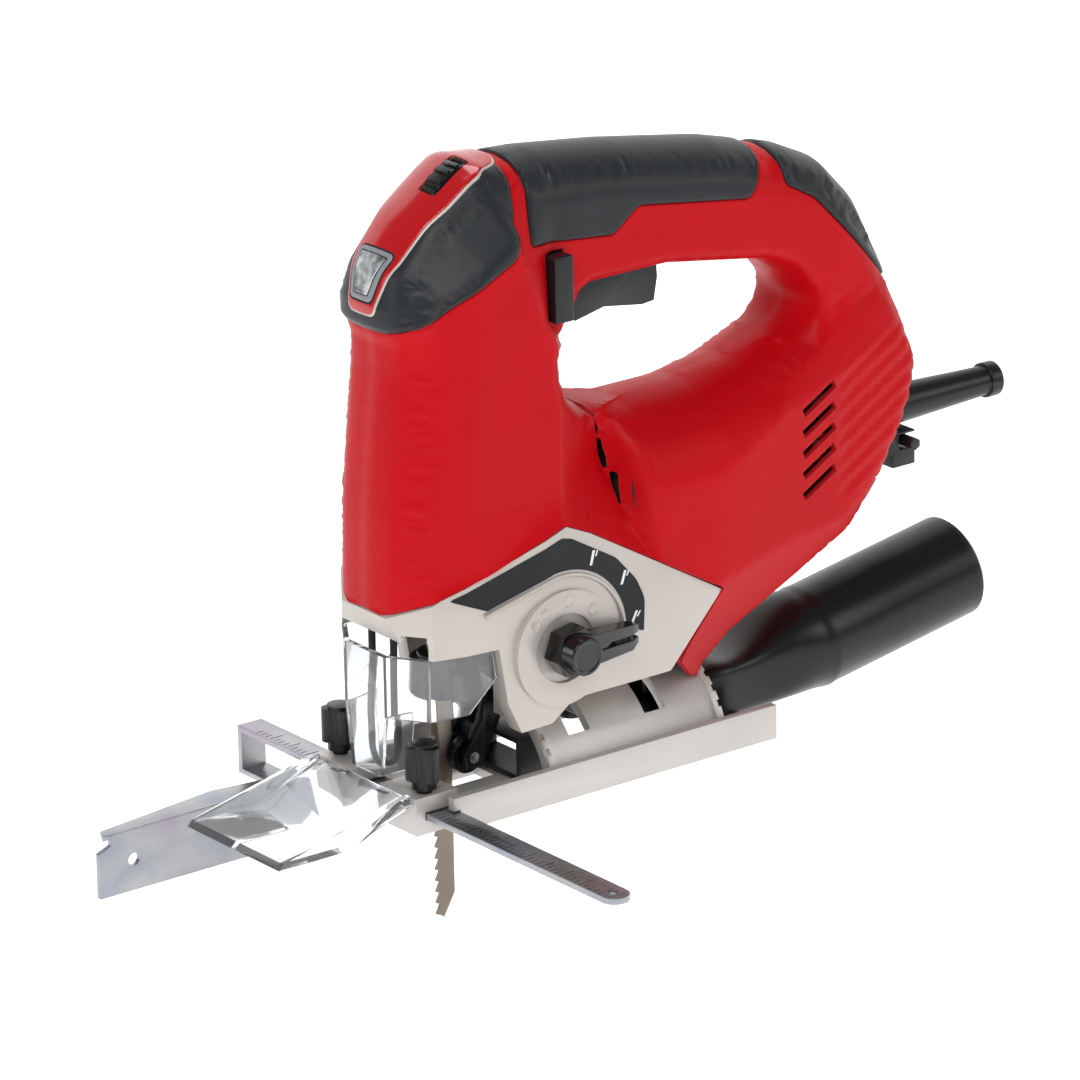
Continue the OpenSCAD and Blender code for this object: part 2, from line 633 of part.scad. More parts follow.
module base_screw() color("gray") translate([screw_x, 0, 0]) difference() {
    union() {
        translate([0, 0, 18.9]) cylinder(h = 25, r = 2.5);
        translate([0, 0, 13.9]) cylinder(h = 5, r = 4.3);
    }
    translate([0, 0, 13]) cylinder(h = 4, r = 2.4, $fn = 6);
}
module dust_duct() color("black") difference() {
    block([19, -17, 3.2], [34, 17, 18]);
    block([18, -15, 5], [35, 15, 16.4]);
}
// A slab across the mouth of the dust port's neck.
module neck_slab(w, z0, z1) block([96, -w, z0], [98, w, z1]);
module port_place() translate([port_x, 0, port_z]) rotate([0, -port_tilt, 0]) children();
module dust_port() color("black") difference() {
    union() {
        hull() {
            neck_slab(18, 3.6, 24);
            port_place() x_rod(0, 2, port_d / 2 - 0.4, $fn = 32);
        }
        block([86, -16, 5], [97, 16, 20]);
        port_place() x_rod(1, port_len, port_d / 2);
    }
    hull() {
        neck_slab(15.5, 6, 21.6);
        port_place() x_rod(0, 2, port_bore / 2 - 0.4, $fn = 32);
    }
    block([85, -14, 7], [97, 14, 18]);
    port_place() x_rod(1, port_len + 1, port_bore / 2);
}

plate_y = 55;
module fence() color("slategray") difference() {
    union() {
        translate([bar_x, 0, 0]) {
            block([-bar_w / 2, -bar_near + 5, bar_z], [bar_w / 2, bar_far, bar_z + bar_t]);
            translate([0, -bar_near + 5, bar_z]) cylinder(h = bar_t, r = bar_w / 2);
            block([-bar_w / 2, bar_far - bar_t, -10], [bar_w / 2, bar_far, bar_z + 0.1]);
            block([-bar_w / 2, plate_y, -10], [bar_w / 2, bar_far - 0.1, -8]);
        }
        // Guide plate with a top flange.
        side_prism(plate_y, plate_y + 2) polygon([[-102, -30], [-102, -14], [-97, -12], [-97, -8], [-18, -8],
            [-18, -30]]);
        translate([0, 0, -10]) linear_extrude(2) polygon([[-100, plate_y + 0.5], [-27, plate_y + 0.5],
            [-27, plate_y + 9], [-48, plate_y + 12], [-98, plate_y + 5]]);
    }
    translate([bar_x, -bar_near + 6, 0]) cylinder(h = 12, r = 1.6);
    translate([-88, 0, -19]) y_rod(plate_y - 1, plate_y + 3, 2.2);
}
module knob_screw(side) translate([knob_x, side * knob_y, 0]) {
    translate([0, 0, bar_z + bar_t + 0.2]) cylinder(h = knob_z - bar_z - bar_t, r = 2.5);
    translate([0, 0, knob_z]) {
        cylinder(h = knob_h, r = 4.2);
        for (a = [30:120:270]) rotate([0, 0, a]) translate([3.1, 0, 3]) cylinder(h = knob_h - 4, r = 3.1);
    }
}
module knob_screw_near() color("black") knob_screw(-1);
module knob_screw_far() color("black") knob_screw(1);
module cut_line_guide() color("lightcyan") difference() {
    union() {
        // Tongues that plug into the front blocks.
        for (s = [-1, 1]) block([-35, s * 13 - 2.5, 10.4], [-28.5, s * 13 + 2.5, 11.8]);
        side_prism(-26, 26) polygon([[-33, 13], [-36, 13], [-58, 3], [-84, 3],
            [-86, 1], [-57, 1], [-35, 10.5],
            [-33, 10.5]]);
        for (s = [-1, 1]) side_prism(s * 25 - 1, s * 25 + 1) polygon([[-33, 14], [-36, 14], [-84, 3.2],
            [-86, 1], [-60, 1], [-33, 10]]);
    }
    block([-90, -1, 0], [-64, 1, 5]);
}

housing_left();
housing_right();
head_cap();
handle_grip();
rear_grip();
top_inlay();
badge();
gear_case();
scale_label();
wire_guard();
clear_guard();
stator();
stator_windings();
front_bearing();
rear_bearing();
brush_holders();
carbon_brushes();
brush_springs();
switch_unit();
speed_board();
strain_relief();
cord_clamp();
key_clip();
hex_key();
housing_screws();
gear_axle();
guide_pin();
lever_pin();
armature_shaft();
armature_core();
commutator();
fan();
crank_gear();
crank_pin();
swivel_guide();
guide_bushes();
plunger();
blade_clamp();
clamp_collar();
blade();
pendulum_lever();
roller_pin();
guide_roller();
selector_knob();
trigger();
lock_button();
speed_wheel();
base_plate();
clamp_plate();
base_screw();
dust_duct();
dust_port();
fence();
knob_screw_near();
knob_screw_far();
cut_line_guide();
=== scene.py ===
"""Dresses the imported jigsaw: moulded shells, soft grips, castings, clear guards, fence and a studio stage."""
import functools
import json
import math

import bmesh
import bpy
import numpy as np
from bpy.props import FloatProperty, FloatVectorProperty, PointerProperty
from mathutils import Matrix, Vector
from mathutils.geometry import delaunay_2d_cdt

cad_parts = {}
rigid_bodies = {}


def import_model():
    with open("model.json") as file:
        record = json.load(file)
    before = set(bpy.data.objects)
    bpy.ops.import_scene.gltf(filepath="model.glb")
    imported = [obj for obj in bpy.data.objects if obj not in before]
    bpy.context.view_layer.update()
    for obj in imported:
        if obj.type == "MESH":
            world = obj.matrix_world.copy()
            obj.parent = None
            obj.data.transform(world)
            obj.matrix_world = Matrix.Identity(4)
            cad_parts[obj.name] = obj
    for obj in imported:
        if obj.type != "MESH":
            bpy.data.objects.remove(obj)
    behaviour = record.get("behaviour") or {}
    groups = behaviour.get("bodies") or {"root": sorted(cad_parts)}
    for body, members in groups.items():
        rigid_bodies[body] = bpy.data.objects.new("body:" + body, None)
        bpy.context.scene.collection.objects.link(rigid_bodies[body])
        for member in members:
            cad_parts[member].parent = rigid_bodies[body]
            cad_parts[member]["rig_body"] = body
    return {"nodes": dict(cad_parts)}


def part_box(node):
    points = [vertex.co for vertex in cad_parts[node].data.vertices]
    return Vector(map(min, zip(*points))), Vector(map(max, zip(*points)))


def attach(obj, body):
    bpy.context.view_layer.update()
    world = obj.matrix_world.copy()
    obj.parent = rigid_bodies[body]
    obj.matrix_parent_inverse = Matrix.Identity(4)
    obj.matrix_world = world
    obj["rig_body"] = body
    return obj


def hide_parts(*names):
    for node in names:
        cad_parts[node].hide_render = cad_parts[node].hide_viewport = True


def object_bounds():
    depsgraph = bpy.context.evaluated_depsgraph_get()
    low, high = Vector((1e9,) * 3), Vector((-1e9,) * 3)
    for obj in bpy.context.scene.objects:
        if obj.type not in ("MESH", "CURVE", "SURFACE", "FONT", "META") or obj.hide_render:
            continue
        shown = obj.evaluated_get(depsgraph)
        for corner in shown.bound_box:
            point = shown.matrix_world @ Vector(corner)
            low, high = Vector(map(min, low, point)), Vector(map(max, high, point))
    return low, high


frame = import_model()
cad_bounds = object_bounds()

bl_info = {
    "name": "Jigsaw",
    "version": (1, 0, 0),
    "blender": (4, 5, 0),
    "location": "3D View > Sidebar > Jigsaw",
    "description": "Builds the looks of a jigsaw on its packed frame",
    "category": "Object",
}

MM = 0.001

# The camera: where it aims in millimetres, its three angles and its distance in metres.
AIM = (43.4, 1.6, 78.2)
CAMERA_TURN, CAMERA_CLIMB, CAMERA_ROLL = math.radians(-37.2), math.radians(19.4), math.radians(-1.0)
CAMERA_DISTANCE = 2.5
# Side view of the studio sweep in metres, and half its width.
SWEEP = [(-3, 0), (1.6, 0), (2.0, 0.05), (2.3, 0.25), (2.45, 0.6), (2.5, 1.2), (2.5, 3.2)]
SWEEP_HALF = 4
FLOOR_GAP = 0.0005
WORLD_LIGHT = 0.2
# Area lamps: place from the aim and size in metres, power in watts.
LAMPS = [("key_lamp", (-0.9, -1.1, 1.5), 0.9, 20), ("side_lamp", (1.3, -1.2, 0.7), 0.7, 5),
         ("top_lamp", (0.2, 0.5, 1.6), 0.8, 9), ("front_lamp", (-1.6, 0.2, 0.6), 0.6, 4)]


# ---------------------------------------------------------------- frame

def low(node):
    """Lowest corner of a node's box, in millimetres."""
    return np.array(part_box(node)[0]) / MM


def high(node):
    """Highest corner of a node's box, in millimetres."""
    return np.array(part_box(node)[1]) / MM


def middle(node):
    """Centre of a node's box, in millimetres."""
    return (low(node) + high(node)) / 2


# ---------------------------------------------------------------- colour and material

def linear(hex_colour):
    """An sRGB hex colour as linear RGBA."""
    channels = [int(hex_colour[i:i + 2], 16) / 255 for i in (1, 3, 5)]
    return [c / 12.92 if c <= 0.04045 else ((c + 0.055) / 1.055) ** 2.4 for c in channels] + [1.0]


class JigsawColours(bpy.types.PropertyGroup):
    """Colours of the moulded and painted parts."""
    shell: FloatVectorProperty(name="Shell", description="Moulded plastic of the two shells", subtype="COLOR",
                               size=4, min=0, max=1, default=linear("#B80410"))
    inlay: FloatVectorProperty(name="Inlay", description="Polished strip on top of the head", subtype="COLOR",
                               size=4, min=0, max=1, default=linear("#B40510"))
    grip: FloatVectorProperty(name="Grip", description="Soft skins of the cap and the handle", subtype="COLOR",
                              size=4, min=0, max=1, default=linear("#26292C"))
    trim: FloatVectorProperty(name="Trim", description="Knobs, port, clip and other dark plastic", subtype="COLOR",
                              size=4, min=0, max=1, default=linear("#0E1012"))
    casting: FloatVectorProperty(name="Casting", description="Lacquered gear case", subtype="COLOR",
                                 size=4, min=0, max=1, default=linear("#BCB6AF"))


class JigsawSizes(bpy.types.PropertyGroup):
    """Small sizes of the finish; the large ones come from the frame."""
    shell_wall: FloatProperty(name="Shell wall", description="Thickness of the moulded shells", unit="LENGTH",
                              default=2.2 * MM, min=0.5 * MM, max=4 * MM)
    grip_raise: FloatProperty(name="Grip height", description="How far the soft skins stand off the shells",
                              unit="LENGTH", default=0.9 * MM, min=0.2 * MM, max=1.1 * MM)
    groove: FloatProperty(name="Groove depth", description="Depth of the parting groove round each skin",
                          unit="LENGTH", default=0.6 * MM, min=0, max=1 * MM)
    edge: FloatProperty(name="Edge rounding", description="Bevel on the cast and moulded parts", unit="LENGTH",
                        default=0.5 * MM, min=0.05 * MM, max=1.5 * MM)
    lens: FloatProperty(name="Lens", description="Focal length of the camera", unit="CAMERA", default=250, min=20,
                        max=600)


def colours():
    return bpy.context.scene.jigsaw_colours


def sizes():
    return bpy.context.scene.jigsaw_sizes


def add(tree, kind, settings=None, links=None, **inputs):
    """Adds a node: settings are its own, inputs go by socket name or number, a socket given there is linked."""
    made = tree.nodes.new(kind)
    for name, value in (settings or {}).items():
        setattr(made, name, value)
    for key, value in {**(links or {}), **{k.replace("_", " "): v for k, v in inputs.items()}}.items():
        socket = made.inputs[key]
        if isinstance(value, bpy.types.NodeSocket):
            tree.links.new(value, socket)
        else:
            socket.default_value = value
    return made


def ramp(tree, factor, stops):
    """A colour ramp through (position, colour) stops."""
    made = add(tree, "ShaderNodeValToRGB", Fac=factor)
    elements = made.color_ramp.elements
    while len(elements) < len(stops):
        elements.new(0.5)
    for element, (position, colour) in zip(elements, stops):
        element.position = position
        element.color = colour
    return made.outputs["Color"]


def grey(value):
    return (value, value, value, 1.0)


MATERIALS = {}


def surface(name, colour, roughness, grain_mm=0.5, bump_mm=0.02, mottle=0.06, wear=0.0, stretch=(1, 1, 1),
            spread=0.08, tint=None, cloud_mm=28.0, **shader):
    """A finish with fine grain, a slow change of tone and, where asked, edges rubbed paler."""
    if name in MATERIALS:
        return MATERIALS[name]
    material = bpy.data.materials.new(name)
    material.use_nodes = True
    tree = material.node_tree
    tree.nodes.clear()
    place = add(tree, "ShaderNodeTexCoord").outputs["Object"]
    scaled = add(tree, "ShaderNodeMapping", Vector=place, Scale=stretch).outputs["Vector"]
    grain = add(tree, "ShaderNodeTexNoise", Vector=scaled, Scale=1 / (grain_mm * MM), Detail=3.0,
                Roughness=0.55).outputs["Fac"]
    cloud = add(tree, "ShaderNodeTexNoise", Vector=place, Scale=1 / (cloud_mm * MM), Detail=2.0).outputs["Fac"]
    base = linear(colour) if isinstance(colour, str) else list(colour)
    pale = [min(1, c * (1 + mottle)) for c in base[:3]] + [1]
    deep = [c * (1 - mottle) for c in base[:3]] + [1]
    tone = ramp(tree, cloud, tint or [(0.3, deep), (0.7, pale)])
    if wear:
        edge = add(tree, "ShaderNodeNewGeometry").outputs["Pointiness"]
        rubbed = ramp(tree, edge, [(0.52, grey(0.0)), (0.62, grey(wear))])
        light = [c + (1 - c) * 0.3 for c in base[:3]] + [1]
        tone = add(tree, "ShaderNodeMix", {"data_type": "RGBA"}, {0: rubbed, 6: tone, 7: light}).outputs[2]
    rough = ramp(tree, grain, [(0.3, grey(max(0.02, roughness - spread / 2))), (0.7, grey(roughness + spread / 2))])
    bump = add(tree, "ShaderNodeBump", Height=grain, Distance=bump_mm * MM, Strength=0.6).outputs["Normal"]
    bsdf = add(tree, "ShaderNodeBsdfPrincipled", Base_Color=tone, Roughness=rough, Normal=bump, **shader)
    add(tree, "ShaderNodeOutputMaterial", Surface=bsdf.outputs["BSDF"])
    MATERIALS[name] = material
    return material


def moulded_abs_red():
    # Injection-moulded ABS with a spark-eroded texture: even colour, broad soft highlights.
    return surface("moulded_abs_red", colours().shell, 0.44, 0.7, 0.05, 0.04, 0.1, IOR=1.53,
                   Specular_IOR_Level=0.1)


def gloss_abs_red():
    # Polished ABS inlay: a little deeper, wet-looking, with sharp highlights.
    return surface("gloss_abs_red", colours().inlay, 0.14, 0.9, 0.005, 0.02, spread=0.03, IOR=1.53,
                   Coat_Weight=0.25, Coat_Roughness=0.05)


def soft_touch_tpe():
    # Overmoulded thermoplastic rubber: charcoal, satin, with a fine leathery grain.
    return surface("soft_touch_tpe", colours().grip, 0.4, 0.6, 0.06, 0.06, 0.08, IOR=1.50,
                   Specular_IOR_Level=0.22)


def black_nylon():
    # Glass-filled nylon: near black, satin, slightly cloudy.
    return surface("black_nylon", colours().trim, 0.32, 0.7, 0.04, 0.10, 0.12, IOR=1.53,
                   Specular_IOR_Level=0.28)


def polished_black_nylon():
    # Polished mould faces of the same nylon: tight highlights.
    return surface("polished_black_nylon", "#08090B", 0.22, 0.9, 0.01, 0.06, spread=0.06, IOR=1.53)


def satin_silver_lacquer():
    # Aluminium-flake lacquer over a die casting: warm silver with a fine sparkle and a soft sheen.
    return surface("satin_silver_lacquer", colours().casting, 0.4, 0.4, 0.015, 0.03, 0.1, Metallic=0.35)


def grey_lacquer():
    # Moulded frame in grey lacquer: flat mid grey, satin.
    return surface("grey_lacquer", "#85878A", 0.4, 0.6, 0.01, 0.04, IOR=1.5)


def mottled_plate():
    # Hammered aluminium plate: bright, with cloudy darker patches a few millimetres wide.
    patches = [(0.36, linear("#6E7173")), (0.5, linear("#B5B8B9")), (0.62, linear("#E2E4E4"))]
    return surface("mottled_plate", "#C8CBCC", 0.32, 1.6, 0.12, tint=patches, cloud_mm=5.0, Metallic=0.5)


def die_cast_aluminium():
    # Tumbled die-cast aluminium: pale grey, slightly grainy, brighter on its edges.
    return surface("die_cast_aluminium", "#BDB9B5", 0.42, 0.7, 0.04, 0.05, 0.25, Metallic=0.45)


def bright_zinc_plate():
    # Zinc plate on rolled steel: bluish with a faint change of hue, and drawn lines along the sheet.
    hues = [(0.3, linear("#8A8F9C")), (0.5, linear("#9FA0A2")), (0.7, linear("#948B98"))]
    return surface("bright_zinc_plate", "#97989C", 0.3, 0.5, 0.01, wear=0.1, stretch=(0.1, 1, 1), tint=hues,
                   Metallic=0.9)


def ground_steel():
    # Ground and turned steel.
    return surface("ground_steel", "#B0B0AF", 0.28, 0.4, 0.006, 0.05, 0.1, Metallic=1.0)


def bimetal_blade_steel():
    # Bimetal blade: warm dark grey, ground along its length.
    return surface("bimetal_blade_steel", "#7E7468", 0.36, 0.4, 0.01, 0.08, 0.1, (1, 1, 0.05), Metallic=0.9)


def black_oxide_steel():
    # Oiled black oxide: deep black with metallic highlights.
    return surface("black_oxide_steel", "#1D1E20", 0.3, 0.5, 0.01, 0.1, 0.2, Metallic=0.7)


def lamination_steel():
    # Stacked electrical sheet: grey, with lines across the stack.
    return surface("lamination_steel", "#6B6C70", 0.45, 0.6, 0.03, 0.08, 0.2, (4, 0.3, 0.3), Metallic=0.8)


def enamelled_copper():
    # Wound enamelled wire: orange brown and glossy, with the wires' lines.
    return surface("enamelled_copper", "#A5532A", 0.25, 0.9, 0.08, 0.1, stretch=(0.2, 1, 1), Metallic=0.85)


def drawn_brass():
    # Drawn brass and sintered bronze.
    return surface("drawn_brass", "#C6A150", 0.3, 0.5, 0.01, 0.06, Metallic=1.0)


def pressed_carbon():
    # Pressed carbon: soft black.
    return surface("pressed_carbon", "#1C1C1D", 0.6, 0.5, 0.02, 0.1)


def lacquered_board():
    # Fibreglass circuit board under green lacquer.
    return surface("lacquered_board", "#14552A", 0.3, 0.6, 0.01, 0.08, IOR=1.5)


def printed_film():
    # Screen-printed film: dark grey, satin.
    return surface("printed_film", "#1C1E20", 0.36, 0.6, 0.01, 0.05, IOR=1.5,
                   Specular_IOR_Level=0.2)


def white_ink():
    # White screen-print ink.
    return surface("white_ink", "#E6E7E7", 0.5, 0.6, 0.005, 0.02, IOR=1.5)


def painted_shade_black():
    # Painted shade: flat matt black that stands for the unlit depth behind slots and in recesses, gaps and grooves.
    return surface("painted_shade_black", "#08090A", 0.8, 0.8, 0.02, 0.1)


def clear_polycarbonate():
    # Clear polycarbonate: glass-like, with a faint cool tint and soft flow marks.
    return surface("clear_polycarbonate", "#F4F7F8", 0.05, 6.0, 0.03, 0.01, spread=0.04, IOR=1.585,
                   Transmission_Weight=0.96)


# ---------------------------------------------------------------- flat outlines, X and Z in mm

def fillet(corners, step=1.5):
    """A closed outline from (x, z, radius, extras...) corners: round corners, even spacing, extras blended."""
    corners = [np.array(c, float) for c in corners]
    points = []
    for i, here in enumerate(corners):
        inward = corners[i - 1][:2] - here[:2]
        outward = corners[(i + 1) % len(corners)][:2] - here[:2]
        reach = [np.linalg.norm(inward), np.linalg.norm(outward)]
        inward, outward = inward / reach[0], outward / reach[1]
        turn = math.acos(max(-1, min(1, float(inward @ outward))))
        cut = min(here[2] / max(math.tan(turn / 2), 1e-3), 0.48 * reach[0], 0.48 * reach[1])
        if cut < 0.05 or math.pi - turn < 0.02:
            points.append(np.concatenate([here[:2], here[3:]]))
            continue
        start, end = here[:2] + inward * cut, here[:2] + outward * cut
        count = max(3, int(2 * cut / step) + 3)
        for t in np.linspace(0, 1, count):
            spot = (1 - t) ** 2 * start + 2 * t * (1 - t) * here[:2] + t * t * end
            points.append(np.concatenate([spot, here[3:]]))
    dense = []
    for i, here in enumerate(points):
        after = points[(i + 1) % len(points)]
        count = max(1, round(np.linalg.norm(after[:2] - here[:2]) / step))
        dense += [here + (after - here) * k / count for k in range(count)]
    return np.array(dense)


def to_line(points, line, closed=True):
    """Distance from points to a line of points, and the line's extras at the nearest place."""
    starts, ends = (line, np.roll(line, -1, axis=0)) if closed else (line[:-1], line[1:])
    run = ends[:, :2] - starts[:, :2]
    length2 = np.maximum((run ** 2).sum(1), 1e-9)
    distance, extras = np.empty(len(points)), np.empty((len(points), line.shape[1] - 2))
    for first in range(0, len(points), 1500):
        part = points[first:first + 1500]
        gap = part[:, None, :] - starts[None, :, :2]
        t = np.clip((gap * run).sum(2) / length2, 0, 1)
        off = ((gap - t[..., None] * run) ** 2).sum(2)
        best = off.argmin(1)
        rows = np.arange(len(part))
        distance[first:first + 1500] = np.sqrt(off[rows, best])
        share = t[rows, best][:, None]
        extras[first:first + 1500] = starts[best, 2:] * (1 - share) + ends[best, 2:] * share
    return distance, extras


def within(points, outline):
    """Which points lie inside a closed outline."""
    inside = np.zeros(len(points), bool)
    x, z = points[:, 0], points[:, 1]
    for (x0, z0), (x1, z1) in zip(outline[:, :2], np.roll(outline[:, :2], -1, axis=0)):
        if z0 != z1:
            crosses = (z0 > z) != (z1 > z)
            inside ^= crosses & (x < (x1 - x0) * (z - z0) / (z1 - z0) + x0)
    return inside


def shifted(loop, amount):
    """The loop's points moved inward by an amount (outward if negative), crossings not mended."""
    flat = loop[:, :2]
    tangent = np.roll(flat, -1, axis=0) - np.roll(flat, 1, axis=0)
    tangent /= np.maximum(np.linalg.norm(tangent, axis=1, keepdims=True), 1e-9)
    area = (flat[:, 0] * np.roll(flat[:, 1], -1) - np.roll(flat[:, 0], -1) * flat[:, 1]).sum()
    return flat + np.stack([-tangent[:, 1], tangent[:, 0]], 1) * (amount if area > 0 else -amount)


EDGE_ROWS = (0.06, 0.26, 0.65, 1.2, 2.0, 2.9, 4.0, 5.4, 7.2)
LINE_ROWS = (0.25, 0.5, 0.85, 1.3, 1.9)


def plate(outline, holes=(), lines=(), rows=EDGE_ROWS, line_rows=LINE_ROWS, spacing=1.7):
    """Points and triangles of a flat region, with fine rows along its outline, its holes and the lines on it.
    Holes are given as (loop, rows)."""
    loops = [(outline, rows, (1,))] + [(loop, steps, (-1,)) for loop, steps in holes]
    loops += [(line, line_rows, (1, -1)) for line in lines]
    points, constraints = [], []
    for loop, _, _ in loops:
        first = len(points)
        points += [tuple(p) for p in loop[:, :2]]
        constraints += [(first + i, first + (i + 1) % len(loop)) for i in range(len(loop))]

    def inside(spots):
        good = within(spots, outline)
        for loop, _ in holes:
            good &= ~within(spots, loop)
        return good

    def kept(spots, margins):
        spots = spots[inside(spots)]
        for (loop, _, _), margin in zip(loops, margins):
            if len(spots):
                spots = spots[to_line(spots, loop)[0] >= margin]
        return spots

    for loop, steps, sides in loops:
        for step in steps:
            margins = [step * 0.96 if other is loop else max(0.3, step * 0.96) for other, _, _ in loops]
            for side in sides:
                points += [tuple(p) for p in kept(shifted(loop, side * step), margins)]
    least, most = outline[:, :2].min(0), outline[:, :2].max(0)
    grid = np.array([(x + (spacing / 2 if j % 2 else 0), z)
                     for j, z in enumerate(np.arange(least[1], most[1], spacing * 0.87))
                     for x in np.arange(least[0], most[0], spacing)])
    points += [tuple(p) for p in kept(grid, [steps[-1] + 0.5 * spacing for _, steps, _ in loops])]
    result = delaunay_2d_cdt([Vector(p) for p in points], constraints, [], 0, 1e-4)
    spots = np.array([tuple(v) for v in result[0]])
    triangles = np.array([f for f in result[2] if len(f) == 3])
    return spots, triangles[inside(spots[triangles].mean(1))]


def smooth_low(a, b, radius):
    """The lower of two heights, blended over a radius."""
    mix = np.clip(0.5 + 0.5 * (b - a) / radius, 0, 1)
    return b + (a - b) * mix - radius * mix * (1 - mix)


def smooth_high(a, b, radius):
    return -smooth_low(-a, -b, radius)


def rounded(distance, height, radius):
    """Height of a rounded edge at a distance from it."""
    return height * np.sqrt(1 - (1 - np.clip(distance / np.maximum(radius, 1e-6), 0, 1)) ** 2)


# ---------------------------------------------------------------- meshes and pieces

def hang(name, mesh, material, body, nodes=(), smooth_angle=38.0):
    """Makes the mesh a smooth-shaded piece, on its body, standing for its nodes."""
    piece = bpy.data.objects.new(name, mesh)
    bpy.context.scene.collection.objects.link(piece)
    mesh.materials.clear()
    mesh.materials.append(material)
    mesh.shade_smooth()
    mesh.set_sharp_from_angle(angle=math.radians(smooth_angle))
    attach(piece, body)
    if nodes:
        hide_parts(*nodes)
    return piece


def new_piece(name, verts, faces, material, body, slot, nodes=(), smooth_angle=38.0, weld=True):
    """A piece from points in millimetres and faces."""
    mesh = bpy.data.meshes.new(name)
    mesh.from_pydata((np.array(verts, float) * MM).tolist(), [], [tuple(int(i) for i in f) for f in faces])
    mesh.validate()
    bm = bmesh.new()
    bm.from_mesh(mesh)
    if weld:
        bmesh.ops.remove_doubles(bm, verts=bm.verts, dist=0.004 * MM)
    bmesh.ops.recalc_face_normals(bm, faces=bm.faces)
    bm.to_mesh(mesh)
    bm.free()
    return hang(name, mesh, material, body, nodes, smooth_angle)


def joined(*parts):
    """Several (points, faces) as one."""
    verts, faces = [], []
    for part_verts, part_faces in parts:
        shift = len(verts)
        verts += [tuple(v) for v in part_verts]
        faces += [tuple(int(i) + shift for i in f) for f in part_faces]
    return np.array(verts), faces


def thick_faces(triangles, count):
    """Faces of a flat region of so many points thickened: its top, its underside and the wall round its border."""
    edges = {(int(f[i]), int(f[(i + 1) % 3])) for f in triangles for i in range(3)}
    border = [e for e in edges if (e[1], e[0]) not in edges]
    faces = [tuple(f) for f in triangles] + [tuple(f[::-1] + count) for f in triangles]
    return faces + [(e[1], e[0], e[0] + count, e[1] + count) for e in border]


def lifted(spots, triangles, heights, side, thickness, raised=0.0):
    """A flat region as a solid skin: y = side * height, moved out by raised, thickened inward."""
    outer = np.stack([spots[:, 0], side * heights, spots[:, 1]], 1)
    a, b, c = (outer[triangles[:, k]] for k in range(3))
    cross = np.cross(b - a, c - a)
    if (cross[:, 1] * side).sum() < 0:
        triangles, cross = triangles[:, ::-1], -cross
    normal = np.zeros_like(outer)
    for k in range(3):
        np.add.at(normal, triangles[:, k], cross)
    rim = heights < 1e-3
    normal[rim, 1] = 0
    normal /= np.maximum(np.linalg.norm(normal, axis=1, keepdims=True), 1e-9)
    top = outer + normal * np.broadcast_to(raised, len(outer))[:, None]
    under = outer - normal * thickness
    under[:, 1] = side * np.maximum(side * under[:, 1], 0)
    under[rim, 1] = 0
    faces = thick_faces(triangles, len(outer))
    verts = np.concatenate([top, under])
    used = sorted({int(i) for f in faces for i in f})
    number = {v: i for i, v in enumerate(used)}
    return verts[used], [tuple(number[int(i)] for i in f) for f in faces]


def softened(node, width, material, segments=2, angle=28, smooth_angle=35, name=None, body=None):
    """A copy of a CAD node with its sharp edges rounded, standing for the node."""
    source = frame["nodes"][node]
    bm = bmesh.new()
    bm.from_mesh(source.data)
    bmesh.ops.remove_doubles(bm, verts=bm.verts, dist=0.002 * MM)
    bmesh.ops.dissolve_limit(bm, angle_limit=math.radians(1.0), verts=bm.verts, edges=bm.edges)
    sharp = [e for e in bm.edges if len(e.link_faces) == 2 and e.calc_face_angle(0) > math.radians(angle)]
    bmesh.ops.bevel(bm, geom=sharp, offset=width * MM, offset_type="OFFSET", segments=segments, profile=0.6,
                    affect="EDGES", clamp_overlap=True)
    mesh = bpy.data.meshes.new(name or node + "_finish")
    bm.to_mesh(mesh)
    bm.free()
    mesh.validate()
    return hang(name or node + "_finish", mesh, material, body or source["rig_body"], [node], smooth_angle)


def dressed(node, material):
    """A CAD node kept as it is, with a finish."""
    target = frame["nodes"][node]
    target.data.materials.clear()
    target.data.materials.append(material)


def tube(path, radius, sides=12, closed=False):
    """A round bar along points."""
    path = [Vector(p) for p in path]
    verts, faces = [], []
    for i, here in enumerate(path):
        before = path[i - 1] if i or closed else here
        after = path[(i + 1) % len(path)] if i < len(path) - 1 or closed else here
        along = (after - before).normalized()
        across = along.cross(Vector((0, 0, 1)) if abs(along.z) < 0.9 else Vector((1, 0, 0))).normalized()
        up = across.cross(along)
        for k in range(sides):
            a = 2 * math.pi * k / sides
            verts.append(tuple(here + (across * math.cos(a) + up * math.sin(a)) * radius))
    turns = len(path) if closed else len(path) - 1
    for i in range(turns):
        for k in range(sides):
            j, m = (i + 1) % len(path), (k + 1) % sides
            faces.append((i * sides + k, j * sides + k, j * sides + m, i * sides + m))
    if not closed:
        faces += [tuple(range(sides))[::-1], tuple((len(path) - 1) * sides + k for k in range(sides))]
    return np.array(verts), faces


def loft(sections, caps=True):
    """A skin through closed sections with the same number of points."""
    count = len(sections[0])
    verts = np.concatenate([np.array(s, float) for s in sections])
    faces = []
    for i in range(len(sections) - 1):
        for k in range(count):
            m = (k + 1) % count
            faces.append((i * count + k, i * count + m, (i + 1) * count + m, (i + 1) * count + k))
    if caps:
        faces += [tuple(range(count))[::-1], tuple((len(sections) - 1) * count + k for k in range(count))]
    return verts, faces


def slab(points, y0, y1, axis=1):
    """A flat plate over an outline, between two levels of an axis; corners are taken as they are."""
    def place(p, level):
        values = list(p)
        values.insert(axis, level)
        return values
    points = np.array(points, float)[:, :2]
    return loft([[place(p, y0) for p in points], [place(p, y1) for p in points]])


# ---------------------------------------------------------------- form of the moulded body

